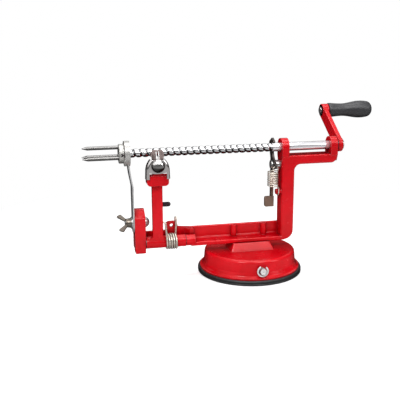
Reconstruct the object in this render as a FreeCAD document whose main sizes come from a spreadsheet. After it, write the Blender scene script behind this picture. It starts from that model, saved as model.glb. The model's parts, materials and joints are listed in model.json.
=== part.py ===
import FreeCAD, Part
import math
import os
import re

import Sketcher

# Hand cranked apple peeler on a round suction base, in millimetres.
# X runs along the drive screw towards the crank, Y away from the peeling side, Z up.
# The origin is the centre of the suction pad's underside.

SIZES = {
    # suction pad and base cover
    "pad_radius": 52,
    "pad_rim_thick": 4.8,
    "pad_border": 2.2,
    "cover_flare": 4.2,
    "cover_height": 18,
    "cover_wall": 2.2,
    "cover_edge_round": 3,
    "cover_bead": 1.6,
    "pedestal_height": 7.7,
    "pedestal_flare": 3.5,
    "pedestal_top_half_width": 9.5,
    # drive screw and its bearings
    "screw_rise": 93.5,
    "shank_radius": 4.25,
    "thread_relief": 0.15,
    "spigot_radius": 3,
    "ear_radius": 8.7,
    "front_ear_left": 30.5,
    "ear_width": 7,
    # fork
    "hub_lead": 5.1,
    "hub_length": 4.8,
    "hub_radius": 9.2,
    "prong_radius": 1.75,
    "prong_circle": 6.2,
    "prong_length": 36.4,
    "prong_tip": 5,
    "prong_seat": 2.4,
    "set_screw_radius": 1,
    # frame casting
    "beam_height": 16.5,
    "web_thick": 3.2,
    "flange_front": -8,
    "flange_thick": 4,
    "upright_length": 13.2,
    "upright_half": 8,
    "arm_drop": 8,
    "arm_thick": 9,
    "arm_reach": 37.3,
    "corner_round": 9.5,
    "inner_round": 6.5,
    "edge_round": 2.2,
    "rail_lift": 2.5,
    "rail_drop": 2.4,
    "bracket_left": -116.2,
    "bracket_thick": 10.4,
    "bracket_rise": 31,
    "bracket_slope": 7,
    "lug_length": 12,
    "lug_rise": 6.4,
    "lug_round": 4,
    "lug_hole_radius": 1.7,
    "peg_drop": 26.5,
    "peg_depth": -4,
    "peg_radius": 2.7,
    "boss_reach": 15.5,
    "boss_radius": 3,
    "frame_screw_radius": 2,
    "frame_screw_depth": 12.5,
    # arm pivot
    "pivot_depth": -3.7,
    "pivot_rise": 5.5,
    "rod_radius": 3,
    "sleeve_radius": 5.9,
    "pivot_gap": 0.5,
    "rod_boss_radius": 5.5,
    # peeler arm
    "arm_inset": 11.8,
    "arm_half": 5.1,
    "peeler_arm_front": -9,
    "peeler_arm_back": -3.5,
    "head_drop": 30,
    "head_height": 9.8,
    "head_half": 10.4,
    "head_front": -14.6,
    "tongue_half": 5,
    "tongue_height": 14.4,
    "tongue_thick": 4.1,
    # hood, blade and their screw
    "hood_wall": 1.1,
    "hood_gap": 0.9,
    "hood_overlap": 2.8,
    "hood_height": 21,
    "hood_mouth_height": 5.4,
    "blade_half": 5.8,
    "blade_thick": 0.9,
    "blade_length": 20.8,
    "blade_tip_length": 9.2,
    "blade_lean": 3,
    "blade_slot_half": 0.9,
    "dome_radius": 6.2,
    "dome_height": 4.6,
    "blade_screw_radius": 1.9,
    "tab_rise": 35,
    "tab_width": 4.4,
    "tab_reach": 8.4,
    "tab_thick": 1.4,
    "rivet_radius": 1.5,
    # arm spring
    "arm_spring_wire": 1.8,
    "arm_spring_radius": 7.1,
    "arm_spring_pitch": 2.3,
    "spring_offset": 3.5,
    "spring_leg_rise": 20,
    # corer blade
    "strip_thick": 1.2,
    "strip_half": 7.5,
    "strip_foot": 9.5,
    "ring_wall": 1,
    "ring_offset": 7.7,
    "ring_length": 5.1,
    "bolt_rise": 25.5,
    "bolt_radius": 2.9,
    "slot_travel": 3,
    "bolt_head_radius": 4.8,
    "bolt_head_height": 2.9,
    "nut_wing_reach": 12.4,
    # latch
    "latch_standoff": 7.5,
    "latch_thick": 2,
    "latch_pivot_depth": 1,
    "latch_pivot_drop": 17.5,
    "latch_bolt_radius": 2.5,
    "latch_head_radius": 4.2,
    "latch_spacer_radius": 4.4,
    "latch_notch_gap": 0.25,
    "latch_tail": 43,
    "thumb_tab_length": 9.6,
    "thumb_tab_height": 10.6,
    "latch_spring_wire": 1.1,
    "latch_spring_radius": 4.9,
    "latch_spring_pitch": 1.85,
    "ear_hole_reach": 8.3,
    "ear_hole_radius": 1.25,
    # crank
    "washer_thick": 1,
    "washer_radius": 7,
    "crank_boss_length": 8.8,
    "crank_boss_radius": 7.8,
    "crank_arm_thick": 7.6,
    "crank_throw": 54,
    "crank_angle": 58,
    "crank_end_radius": 6,
    "crank_screw_radius": 2,
    "handle_length": 50.3,
    "handle_collar_radius": 7.3,
    "handle_bulb_radius": 8.8,
    "handle_pin_radius": 2.5,
    "pin_head_radius": 3.4,
    "pin_head_height": 1.6,
    # cam mechanism of the pad
    "cam_rise": 8.4,
    "cam_shaft_radius": 3.1,
    "cam_radius": 4.5,
    "cam_offset": 1.5,
    "cam_length": 9,
    "clip_radius": 5.2,
    "clip_thick": 1.1,
    "clip_gap": 1.7,
    "post_wall": 2.05,
    "post_bottom": 1.5,
    "post_foot_radius": 12,
    "post_foot_thick": 1.6,
    "window_gap": 0.45,
    "window_cap": 1.7,
    "lever_thick": 5.4,
    "lever_gap": 1.8,
    "lever_hub_radius": 5.2,
    "lever_length": 40,
    "lever_width": 8,
    # clearances
    "seat_gap": 0.3,
    "face_gap": 0.2,
    "fit_gap": 0.08,
    "press_gap": 0.05,
}

# Places that follow from the sizes; each name stands for its expression.
PLACES = {
    "cover_flare_radius": "pad_radius-pad_border",
    "cover_radius": "cover_flare_radius-cover_flare",
    "cover_top": "pad_rim_thick+cover_height",
    "cam_axis_height": "pad_rim_thick+cam_rise",
    "cam_shaft_front": "-cover_radius-clip_gap-clip_thick-1.8",
    "lever_face": "cover_radius+lever_gap",
    "post_half_length": "cam_radius+cam_offset+window_gap+post_wall",
    "post_half_width": "cam_length/2",
    "foot_roof": "post_bottom+post_foot_thick+seat_gap",
    "window_half": "cam_radius+cam_offset+window_gap",
    "window_low": "cam_axis_height-cam_offset-cam_radius-window_gap",
    "window_high": "cam_axis_height-cam_offset+cam_radius+window_gap",
    "beam_bottom": "cover_top+pedestal_height",
    "beam_top": "beam_bottom+beam_height",
    "pedestal_top_half": "boss_reach+frame_screw_radius+1.5",
    "pedestal_half": "pedestal_top_half+pedestal_flare",
    "pedestal_half_width": "pedestal_top_half_width+pedestal_flare+0.5",
    "screw_axis_height": "beam_bottom+screw_rise",
    "screw_radius": "shank_radius-thread_relief",
    "arm_top": "screw_axis_height-arm_drop",
    "arm_bottom": "arm_top-arm_thick",
    "upright_right": "front_ear_left+upright_length",
    "rear_ear_left": "upright_right+arm_reach",
    "web_back": "upright_half",
    "web_front": "web_back-web_thick",
    "boss_depth": "web_front-0.6",
    "bracket_right": "bracket_left+bracket_thick",
    "bracket_bottom": "beam_bottom-0.5",
    "bracket_shoulder": "beam_bottom+bracket_rise",
    "bracket_top": "bracket_shoulder+bracket_slope",
    "arm_centre": "bracket_right+arm_inset",
    "arm_spring_left": "arm_centre+arm_half+spring_offset",
    "lug_right": "arm_spring_left+arm_spring_pitch*4.542+2.45",
    "lug_left": "lug_right-lug_length",
    "lug_top": "beam_top+lug_rise",
    "rod_boss_left": "lug_right+6.5",
    "beam_left": "rod_boss_left+5",
    "rail_bottom": "beam_bottom+rail_lift",
    "rail_top": "beam_top-rail_drop",
    "pivot_height": "beam_bottom+pivot_rise",
    "bolt_height": "beam_bottom+bolt_rise",
    "tab_height": "pivot_height+tab_rise",
    "spring_hole_depth": "(peeler_arm_front+peeler_arm_back)/2+0.65",
    "spring_hole_height": "pivot_height+spring_leg_rise",
    "spring_hook_height": "lug_top+1.1",
    "head_bottom": "screw_axis_height-head_drop",
    "head_top": "head_bottom+head_height",
    "tongue_top": "head_top+tongue_height",
    "tongue_front": "head_front+0.3",
    "hood_half": "head_half+face_gap+hood_wall",
    "hood_front": "head_front-hood_gap-hood_wall",
    "hood_bottom": "head_top-hood_overlap",
    "hood_top": "hood_bottom+hood_height",
    "hood_lip": "hood_bottom+hood_mouth_height",
    "blade_face": "hood_front+hood_wall+press_gap",
    "blade_bottom": "hood_bottom+6",
    "blade_top": "blade_bottom+blade_length",
    "blade_bend": "blade_top-blade_tip_length",
    "dome_axis_height": "hood_bottom+12.6",
    "dome_ball_radius": "(dome_radius*dome_radius+dome_height*dome_height)/(2*dome_height)",
    "bolt_ball_radius": "(bolt_head_radius*bolt_head_radius+bolt_head_height*bolt_head_height)/(2*bolt_head_height)",
    "ring_left": "bracket_left-ring_offset",
    "ring_right": "ring_left+ring_length",
    "ring_radius": "hub_radius+slot_travel/2+seat_gap+ring_wall",
    "strip_right": "bracket_left-face_gap",
    "strip_bottom": "bolt_height-strip_foot",
    "strip_bend_low": "screw_axis_height-32",
    "strip_bend_high": "screw_axis_height-18",
    "washer_left": "bracket_left-2.6",
    "nut_face": "washer_left-0.1",
    "hub_left": "ring_left-hub_lead",
    "hub_right": "hub_left+hub_length",
    "prong_left": "hub_left+prong_seat-0.1-prong_length",
    "latch_left": "front_ear_left-latch_standoff",
    "latch_right": "latch_left+latch_thick",
    "latch_pivot_height": "screw_axis_height-latch_pivot_drop",
    "latch_foot": "latch_pivot_height-latch_tail",
    "thumb_tab_bottom": "latch_foot+0.3",
    "notch_radius": "shank_radius+latch_notch_gap",
    "ear_hole_depth": "latch_pivot_depth-ear_hole_reach",
    "ear_hole_height": "latch_pivot_height-1",
    "latch_spring_across": "latch_left-1.6",
    "latch_spring_depth": "ear_hole_depth+0.6",
    "latch_spring_top": "ear_hole_height-4.5",
    "peg_height": "latch_pivot_height-peg_drop",
    "peg_left": "latch_right+seat_gap",
    "crank_left": "rear_ear_left+ear_width+washer_thick+face_gap*2",
    "crank_right": "crank_left+crank_boss_length",
    "crank_arm_left": "crank_right-0.8-crank_arm_thick",
    "crank_end_depth": "crank_throw*sin(crank_angle)",
    "crank_end_height": "screw_axis_height+crank_throw*cos(crank_angle)",
    "handle_left": "crank_right+0.1",
    "handle_tip": "handle_left+handle_length",
    "pin_head_left": "handle_tip-7.6-pin_head_height",
}

doc = FreeCAD.newDocument("apple_peeler")
sheet = doc.addObject("Spreadsheet::Sheet", "sizes")
for row, (alias, size) in enumerate(SIZES.items(), start=1):
    sheet.set(f"A{row}", alias)
    sheet.set(f"B{row}", str(size))
    sheet.setAlias(f"B{row}", alias)
doc.recompute()

PARTS = []


def bound(text):
    """An expression in which each size is read from the sheet and each place is written out."""

    def read(match):
        word = match[0]
        if word in PLACES:
            return f"({bound(PLACES[word])})"
        return f"sizes.{word}" if word in SIZES else word

    return re.sub(r"[a-z][a-z_]*", read, str(text))


def value(text):
    """The present number of an expression."""
    return float(sheet.evalExpression(bound(text)))


def bind(obj, **settings):
    """Bind properties to expressions; Placement and offset parts are named x, y and z."""
    for name, text in settings.items():
        obj.setExpression(name.replace("__", "."), bound(text))


def keep(obj, label):
    """Name a finished piece and list it for writing."""
    obj.Label = label
    PARTS.append(obj)
    return obj


def new_body(name):
    body = doc.addObject("PartDesign::Body", name)
    doc.recompute()
    return body


def plane(body, role):
    return next(f for f in body.Origin.OriginFeatures if f.Role == role)


class Outline:
    """A closed outline on one of a body's planes, walked from corner to corner."""

    def __init__(self, body, name, role, offset):
        self.sketch = body.newObject("Sketcher::SketchObject", name)
        self.sketch.AttachmentSupport = [(plane(body, role), "")]
        self.sketch.MapMode = "FlatFace"
        bind(self.sketch, AttachmentOffset__Base__z=offset)

    def constrain(self, constraint, text=None):
        index = self.sketch.addConstraint(constraint)
        if text is not None:
            self.sketch.setExpression(f"Constraints[{index}]", bound(text))

    def pin(self, geo, end, x, y):
        """Hold a point at x, y, measured from the origin."""
        for kind, axis, text in (("DistanceX", -2, x), ("DistanceY", -1, y)):
            if text == "0":
                self.constrain(Sketcher.Constraint("PointOnObject", geo, end, axis))
            else:
                self.constrain(Sketcher.Constraint(kind, -1, 1, geo, end, value(text)), text)

    def circle(self, x, y, radius):
        centre = FreeCAD.Vector(value(x), value(y), 0)
        geo = self.sketch.addGeometry(Part.Circle(centre, FreeCAD.Vector(0, 0, 1), value(radius)))
        self.constrain(Sketcher.Constraint("Radius", geo, value(radius)), radius)
        self.pin(geo, 3, x, y)
        return self

    def corners(self, *corners):
        """Corners are (x, y) for a straight side to the next one, or (x, y, radius, turn)
        for an arc to it, whose turn is 1 to the left and -1 to the right."""
        points = [FreeCAD.Vector(value(c[0]), value(c[1]), 0) for c in corners]
        sides = []
        for i, corner in enumerate(corners):
            start, end = points[i], points[(i + 1) % len(points)]
            if len(corner) == 2:
                sides.append((self.sketch.addGeometry(Part.LineSegment(start, end)), 1, 2))
                continue
            radius, turn = value(corner[2]), corner[3]
            along = end - start
            rise = math.sqrt(max(radius**2 - (along.Length / 2) ** 2, 0))
            left = FreeCAD.Vector(-along.y, along.x, 0) / along.Length
            centre = (start + end) / 2 + left * rise * turn
            angles = [math.atan2(p.y - centre.y, p.x - centre.x) for p in (start, end)]
            first, last = angles if turn > 0 else angles[::-1]
            circle = Part.Circle(centre, FreeCAD.Vector(0, 0, 1), radius)
            geo = self.sketch.addGeometry(Part.ArcOfCircle(circle, first, last))
            sides.append((geo, 1, 2) if turn > 0 else (geo, 2, 1))
        for i, side in enumerate(sides):
            follower = sides[(i + 1) % len(sides)]
            self.constrain(Sketcher.Constraint("Coincident", side[0], side[2], follower[0], follower[1]))
        for side, corner in zip(sides, corners):
            self.pin(side[0], side[1], corner[0], corner[1])
            if len(corner) == 4:
                self.constrain(Sketcher.Constraint("Radius", side[0], value(corner[2])), corner[2])
        return self


def pad(body, name, role, offset, length, *corners):
    """A slab: its outline stands at the offset and grows along the plane's normal."""
    outline = Outline(body, name + "_outline", role, offset).corners(*corners)
    feature = body.newObject("PartDesign::Pad", name)
    feature.Profile = outline.sketch
    bind(feature, Length=length)
    doc.recompute()
    return feature


def pocket(body, name, role, offset, length, *corners):
    """A cut of the same form as a slab."""
    outline = Outline(body, name + "_outline", role, offset).corners(*corners)
    feature = body.newObject("PartDesign::Pocket", name)
    feature.Profile = outline.sketch
    feature.Reversed = True
    bind(feature, Length=length)
    before = feature.BaseFeature.Shape.Volume
    doc.recompute()
    if feature.Shape.Volume >= before:
        raise RuntimeError(f"{name} cuts nothing")
    return feature


def revolution(body, name, role, axis, *corners):
    outline = Outline(body, name + "_outline", role, "0").corners(*corners)
    feature = body.newObject("PartDesign::Revolution", name)
    feature.Profile = outline.sketch
    feature.ReferenceAxis = (plane(body, axis), [""])
    feature.Angle = 360
    doc.recompute()
    return feature


def primitive(body, kind, name, role, place, **settings):
    """An added or cut primitive, placed on a plane by its local x, y and z."""
    feature = body.newObject("PartDesign::" + kind, name)
    feature.AttachmentSupport = [(plane(body, role), "")]
    feature.MapMode = "FlatFace"
    for axis, text in zip("xyz", place):
        if text != "0":
            bind(feature, **{f"AttachmentOffset__Base__{axis}": text})
    bind(feature, **settings)
    doc.recompute()
    return feature


def dress(body, kind, name, size, test):
    """Round or bevel the edges of the body's tip that pass a test."""
    tip = body.Tip
    names = [f"Edge{i}" for i, edge in enumerate(tip.Shape.Edges, start=1) if test(edge)]
    if not names:
        raise RuntimeError(f"{name} finds no edge")
    feature = body.newObject("PartDesign::" + kind, name)
    feature.Base = (tip, names)
    bind(feature, **{"Radius" if kind == "Fillet" else "Size": size})
    doc.recompute()
    return feature


def near(a, b, slack=0.02):
    return abs(a - b) < slack


def upright_edge(edge, axis):
    """Whether an edge is a straight line along an axis."""
    if not isinstance(edge.Curve, Part.Line):
        return False
    return abs(abs(edge.tangentAt(edge.FirstParameter).dot(axis)) - 1) < 1e-6


AXES = {"x": FreeCAD.Vector(1, 0, 0), "y": FreeCAD.Vector(0, 1, 0), "z": FreeCAD.Vector(0, 0, 1)}
TURNS = {
    "x": FreeCAD.Rotation(AXES["y"], 90),
    "y": FreeCAD.Rotation(AXES["x"], -90),
    "z": FreeCAD.Rotation(),
}


def solid(kind, name, along, place, **settings):
    """A Part primitive whose length runs along an axis from a place."""
    obj = doc.addObject("Part::" + kind, name)
    obj.Placement = FreeCAD.Placement(FreeCAD.Vector(), TURNS[along])
    for axis, text in zip("xyz", place):
        bind(obj, **{f"Placement__Base__{axis}": text})
    bind(obj, **settings)
    return obj


def rod(name, along, place, radius, length):
    return solid("Cylinder", name, along, place, Radius=radius, Height=length)


def block(name, place, length, width, height):
    return solid("Box", name, "z", place, Length=length, Width=width, Height=height)


def fuse(name, *shapes):
    obj = doc.addObject("Part::MultiFuse", name)
    obj.Shapes = list(shapes)
    obj.Refine = True
    return obj


def cut(name, base, *tools):
    obj = doc.addObject("Part::Cut", name)
    obj.Base = base
    obj.Tool = tools[0] if len(tools) == 1 else fuse(name + "_tools", *tools)
    return obj


# Suction pad: a rubber disc whose raised boss holds the foot of the post.

suction_pad = new_body("suction_pad")
revolution(
    suction_pad, "pad_turning", "XZ_Plane", "Z_Axis",
    ("0", "0"),
    ("pad_radius", "0"),
    ("pad_radius", "pad_rim_thick-1.6", "1.6", 1),
    ("pad_radius-1.6", "pad_rim_thick"),
    ("pad_radius-9", "pad_rim_thick"),
    ("pad_radius-12", "2.2"),
    ("post_foot_radius+4", "2.2"),
    ("post_foot_radius+3", "foot_roof+1.6"),
    ("post_half_length+1.6", "foot_roof+1.6"),
    ("post_half_length+1.6", "foot_roof"),
    ("post_foot_radius+seat_gap", "foot_roof"),
    ("post_foot_radius+seat_gap", "post_bottom-seat_gap"),
    ("0", "post_bottom-seat_gap"),
)
keep(suction_pad, "suction_pad")

# Base cover: a drawn metal cup that stands on the pad's rim and carries the frame on a pedestal.

base_cover = new_body("base_cover")
revolution(
    base_cover, "cover_turning", "XZ_Plane", "Z_Axis",
    ("0", "cover_top-cover_wall"),
    ("cover_radius-cover_wall-2.4", "cover_top-cover_wall", "2", -1),
    ("cover_radius-cover_wall-0.4", "cover_top-cover_wall-2"),
    ("cover_radius-cover_wall+0.2", "pad_rim_thick+6.2"),
    ("cover_flare_radius-cover_wall", "pad_rim_thick+cover_bead"),
    ("cover_flare_radius-cover_wall", "pad_rim_thick"),
    ("cover_flare_radius", "pad_rim_thick"),
    ("cover_flare_radius", "pad_rim_thick+cover_bead", "3.6", -1),
    ("cover_radius+1", "pad_rim_thick+4.6"),
    ("cover_radius+0.3", "pad_rim_thick+6.4"),
    ("cover_radius-0.4", "cover_top-cover_edge_round", "cover_edge_round", 1),
    ("cover_radius-0.4-cover_edge_round", "cover_top"),
    ("0", "cover_top"),
)
top = Outline(base_cover, "pedestal_top", "XY_Plane", "beam_bottom").corners(
    ("-pedestal_top_half", "-pedestal_top_half_width"),
    ("pedestal_top_half", "-pedestal_top_half_width"),
    ("pedestal_top_half", "pedestal_top_half_width"),
    ("-pedestal_top_half", "pedestal_top_half_width"),
)
foot = Outline(base_cover, "pedestal_foot", "XY_Plane", "cover_top-0.5").corners(
    ("-pedestal_half", "-pedestal_half_width"),
    ("pedestal_half", "-pedestal_half_width"),
    ("pedestal_half", "pedestal_half_width"),
    ("-pedestal_half", "pedestal_half_width"),
)
pedestal = base_cover.newObject("PartDesign::AdditiveLoft", "pedestal")
pedestal.Profile = foot.sketch
pedestal.Sections = [top.sketch]
doc.recompute()
dress(
    base_cover, "Fillet", "pedestal_round", "2.5",
    lambda e: e.BoundBox.ZMin > value("cover_top") - 0.1
    and e.BoundBox.ZLength > 5 and e.BoundBox.XLength > 1 and e.BoundBox.YLength > 1,
)
pocket(
    base_cover, "post_space", "XY_Plane", "cover_top-cover_wall-1", "cover_wall+1+4.4",
    ("-post_half_length-1.5", "-post_half_width-1.5"),
    ("post_half_length+1.5", "-post_half_width-1.5"),
    ("post_half_length+1.5", "post_half_width+1.5"),
    ("-post_half_length-1.5", "post_half_width+1.5"),
)
primitive(
    base_cover, "SubtractiveCylinder", "shaft_bore", "XZ_Plane",
    ("0", "cam_axis_height", "-cover_flare_radius"),
    Radius="cam_shaft_radius+fit_gap", Height="cover_flare_radius*2",
)
for side, sign in (("left", "-"), ("right", "")):
    primitive(
        base_cover, "SubtractiveCylinder", f"screw_bore_{side}", "XY_Plane",
        (f"{sign}boss_reach", "boss_depth", "cover_top-cover_wall-2"),
        Radius="frame_screw_radius+0.15", Height="14",
    )
keep(base_cover, "base_cover")

# Cam mechanism: turning the lever lifts the post, which draws the pad up.

cam_shaft = new_body("cam_shaft")
primitive(
    cam_shaft, "AdditiveCylinder", "shaft", "XZ_Plane",
    ("0", "cam_axis_height", "-lever_face-lever_thick-0.4"),
    Radius="cam_shaft_radius", Height="lever_face+lever_thick+0.4-cam_shaft_front",
)
primitive(
    cam_shaft, "AdditiveCylinder", "cam", "XZ_Plane",
    ("0", "cam_axis_height-cam_offset", "-cam_length/2"),
    Radius="cam_radius", Height="cam_length",
)
groove = Outline(cam_shaft, "clip_groove_outline", "XZ_Plane", "cover_radius+clip_gap-0.1")
groove.circle("0", "cam_axis_height", "cam_shaft_radius+1")
groove.circle("0", "cam_axis_height", "cam_shaft_radius-0.7")
clip_groove = cam_shaft.newObject("PartDesign::Pocket", "clip_groove")
clip_groove.Profile = groove.sketch
clip_groove.Reversed = True
bind(clip_groove, Length="clip_thick+0.2")
doc.recompute()
keep(cam_shaft, "cam_shaft")


def spoke(body, kind, name, role, centre, angle, start, length, width, offset, thick):
    """A bar that points away from a centre at an angle within a plane."""
    place = FreeCAD.Placement(FreeCAD.Vector(), FreeCAD.Rotation(AXES["z"], angle))
    x = f"{centre[0]}+({start})*cos({angle})+({width})/2*sin({angle})"
    y = f"{centre[1]}+({start})*sin({angle})-({width})/2*cos({angle})"
    feature = body.newObject("PartDesign::" + kind, name)
    feature.AttachmentSupport = [(plane(body, role), "")]
    feature.MapMode = "FlatFace"
    feature.AttachmentOffset = place
    bind(feature, AttachmentOffset__Base__x=x, AttachmentOffset__Base__y=y)
    bind(feature, AttachmentOffset__Base__z=offset, Length=length, Width=width, Height=thick)
    doc.recompute()
    return feature


e_clip = new_body("e_clip")
clip_place = "cover_radius+clip_gap"
primitive(
    e_clip, "AdditiveCylinder", "clip_band", "XZ_Plane", ("0", "cam_axis_height", clip_place),
    Radius="clip_radius", Height="clip_thick",
)
primitive(
    e_clip, "SubtractiveCylinder", "clip_eye", "XZ_Plane", ("0", "cam_axis_height", clip_place),
    Radius="clip_radius-1.4", Height="clip_thick",
)
for angle in (135, 225, 315):
    spoke(
        e_clip, "AdditiveBox", f"clip_tooth_{angle}", "XZ_Plane", ("0", "cam_axis_height"), angle,
        "cam_shaft_radius-0.6", "clip_radius-cam_shaft_radius-0.4", "2.2", clip_place, "clip_thick",
    )
spoke(
    e_clip, "SubtractiveBox", "clip_mouth", "XZ_Plane", ("0", "cam_axis_height"), 45,
    "1", "clip_radius", "4.2", clip_place, "clip_thick",
)
keep(e_clip, "e_clip")

pad_post = new_body("pad_post")
pad(
    pad_post, "post", "XZ_Plane", "-post_half_width", "post_half_width*2",
    ("-post_half_length", "post_bottom"),
    ("post_half_length", "post_bottom"),
    ("post_half_length", "window_high+window_cap-2", "2", 1),
    ("post_half_length-2", "window_high+window_cap"),
    ("2-post_half_length", "window_high+window_cap", "2", 1),
    ("-post_half_length", "window_high+window_cap-2"),
)
primitive(
    pad_post, "AdditiveCylinder", "post_foot", "XY_Plane", ("0", "0", "post_bottom"),
    Radius="post_foot_radius", Height="post_foot_thick",
)
pocket(
    pad_post, "window", "XZ_Plane", "-post_half_width", "post_half_width*2",
    ("-window_half", "window_low"),
    ("window_half", "window_low"),
    ("window_half", "window_high"),
    ("-window_half", "window_high"),
)
keep(pad_post, "pad_post")

suction_lever = new_body("suction_lever")
primitive(
    suction_lever, "AdditiveCylinder", "lever_hub", "XZ_Plane",
    ("0", "cam_axis_height", "-lever_face-lever_thick"),
    Radius="lever_hub_radius", Height="lever_thick",
)
pad(
    suction_lever, "lever_arm", "XZ_Plane", "-lever_face-lever_thick", "lever_thick-1",
    ("0", "cam_axis_height-lever_width/2"),
    ("lever_length*0.6", "cam_axis_height-lever_width/2"),
    ("lever_length", "cam_axis_height-lever_width*0.6", "lever_width*0.6", 1),
    ("lever_length+lever_width*0.6", "cam_axis_height", "lever_width*0.6", 1),
    ("lever_length", "cam_axis_height+lever_width*0.6"),
    ("lever_length*0.6", "cam_axis_height+lever_width/2"),
    ("0", "cam_axis_height+lever_width/2"),
)
dress(
    suction_lever, "Fillet", "lever_round", "0.9",
    lambda e: e.BoundBox.YLength < 0.01 and e.BoundBox.XMax > value("lever_hub_radius") + 2,
)
primitive(
    suction_lever, "SubtractiveCylinder", "lever_bore", "XZ_Plane",
    ("0", "cam_axis_height", "-cover_flare_radius*1.5"),
    Radius="cam_shaft_radius+fit_gap", Height="cover_flare_radius",
)
keep(suction_lever, "suction_lever")

# Frame casting: one piece from the blade bracket on the left to the bearing ears on the right.

casting = new_body("frame_casting")
pad(
    casting, "upright", "XZ_Plane", "-upright_half", "upright_half*2",
    ("front_ear_left", "beam_bottom"),
    ("upright_right-corner_round", "beam_bottom", "corner_round", 1),
    ("upright_right", "beam_bottom+corner_round"),
    ("upright_right", "arm_bottom-inner_round", "inner_round", -1),
    ("upright_right+inner_round", "arm_bottom"),
    ("rear_ear_left+ear_width-6", "arm_bottom", "6", 1),
    ("rear_ear_left+ear_width", "arm_bottom+6"),
    ("rear_ear_left+ear_width", "arm_top"),
    ("front_ear_left", "arm_top"),
)
dress(
    casting, "Fillet", "upright_round", "edge_round",
    lambda e: e.BoundBox.YLength < 0.01 and e.BoundBox.ZMax < value("arm_top") - 0.1
    or near(e.BoundBox.XMin, value("front_ear_left")) and e.BoundBox.ZLength > 50,
)
for name, left in (("front_ear", "front_ear_left"), ("rear_ear", "rear_ear_left")):
    pad(
        casting, name, "YZ_Plane", left, "ear_width",
        ("-upright_half+edge_round*0.9", "arm_bottom+2"),
        ("upright_half-edge_round*0.9", "arm_bottom+2"),
        ("ear_radius-0.3", "arm_top-1"),
        ("ear_radius", "screw_axis_height", "ear_radius", 1),
        ("0", "screw_axis_height+ear_radius", "ear_radius", 1),
        ("-ear_radius", "screw_axis_height"),
        ("-ear_radius+0.3", "arm_top-1"),
    )
pad(
    casting, "web", "XZ_Plane", "-web_back", "web_back-web_front",
    ("beam_left", "beam_bottom"),
    ("front_ear_left+4", "beam_bottom"),
    ("front_ear_left+4", "beam_top"),
    ("beam_left", "beam_top"),
)
pad(
    casting, "flange", "XY_Plane", "beam_bottom", "flange_thick",
    ("beam_left", "flange_front"),
    ("front_ear_left+4", "flange_front"),
    ("front_ear_left+4", "web_back"),
    ("beam_left", "web_back"),
)
dress(
    casting, "Fillet", "beam_fillet", "3",
    lambda e: e.BoundBox.YLength < 0.01 and e.BoundBox.XLength > 40 and e.BoundBox.ZLength < 0.01
    and near(e.BoundBox.YMin, value("web_front")) and near(e.BoundBox.ZMin, value("beam_bottom+flange_thick")),
)
dress(
    casting, "Fillet", "beam_edge_round", "1.1",
    lambda e: e.BoundBox.YLength < 0.01 and e.BoundBox.XLength > 40 and e.BoundBox.ZLength < 0.01
    and (near(e.BoundBox.YMin, value("flange_front")) or near(e.BoundBox.ZMin, value("beam_top"))),
)
for side, sign in (("left", "-"), ("right", "")):
    primitive(
        casting, "AdditiveCylinder", f"screw_boss_{side}", "XY_Plane",
        (f"{sign}boss_reach", "boss_depth", "beam_bottom"),
        Radius="boss_radius", Height="beam_top-beam_bottom-0.6",
    )
primitive(
    casting, "AdditiveCylinder", "rod_boss", "YZ_Plane",
    ("pivot_depth", "pivot_height", "rod_boss_left"),
    Radius="rod_boss_radius", Height="9",
)
pad(
    casting, "gusset", "XY_Plane", "beam_top-6.5", "6",
    ("beam_left-5", "web_front+0.4"),
    ("beam_left", "-1"),
    ("beam_left+3.5", "-1"),
    ("beam_left+3.5", "web_front+0.4"),
)
pad(
    casting, "rail", "XZ_Plane", "-web_back", "web_back-web_front",
    ("bracket_right-1", "rail_bottom"),
    ("beam_left+1", "rail_bottom"),
    ("beam_left+1", "beam_top-0.3"),
    ("lug_right", "beam_top+0.8"),
    ("lug_right", "lug_top-lug_round", "lug_round", 1),
    ("lug_right-lug_round", "lug_top"),
    ("lug_left+lug_round", "lug_top", "lug_round", 1),
    ("lug_left", "lug_top-lug_round"),
    ("lug_left", "rail_top"),
    ("bracket_right-1", "rail_top"),
)
pad(
    casting, "bracket", "YZ_Plane", "bracket_left", "bracket_right-bracket_left",
    ("-upright_half", "bracket_bottom"),
    ("web_back", "bracket_bottom"),
    ("web_back", "bracket_top"),
    ("1.5", "bracket_top"),
    ("-upright_half", "bracket_shoulder"),
)
dress(
    casting, "Fillet", "bracket_round", "1.8",
    lambda e: upright_edge(e, AXES["x"]) and e.BoundBox.XMax < value("bracket_right") + 0.1
    and (e.BoundBox.ZMin > value("bracket_shoulder") - 1 or near(e.BoundBox.YMin, -value("upright_half"))),
)
primitive(
    casting, "AdditiveCylinder", "spring_peg", "YZ_Plane",
    ("peg_depth", "peg_height", "peg_left"),
    Radius="peg_radius", Height="front_ear_left-peg_left+2",
)
primitive(
    casting, "SubtractiveCylinder", "shaft_bores", "YZ_Plane",
    ("0", "screw_axis_height", "front_ear_left-1"),
    Radius="shank_radius+fit_gap", Height="rear_ear_left+ear_width-front_ear_left+2",
)
primitive(
    casting, "SubtractiveCylinder", "rod_bores", "YZ_Plane",
    ("pivot_depth", "pivot_height", "bracket_left-1"),
    Radius="rod_radius+press_gap", Height="beam_left+3.2-bracket_left",
)
primitive(
    casting, "SubtractiveCylinder", "blade_bolt_bore", "YZ_Plane",
    ("0", "bolt_height", "bracket_left-1"),
    Radius="bolt_radius+0.1", Height="bracket_right-bracket_left+2",
)
primitive(
    casting, "SubtractiveCylinder", "latch_bolt_bore", "YZ_Plane",
    ("latch_pivot_depth", "latch_pivot_height", "front_ear_left-1"),
    Radius="latch_bolt_radius+press_gap", Height="9.2",
)
primitive(
    casting, "SubtractiveCylinder", "lug_hole", "XZ_Plane",
    ("(lug_left+lug_right)/2", "lug_top-lug_round", "-web_back-1"),
    Radius="lug_hole_radius", Height="web_back-web_front+2",
)
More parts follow.
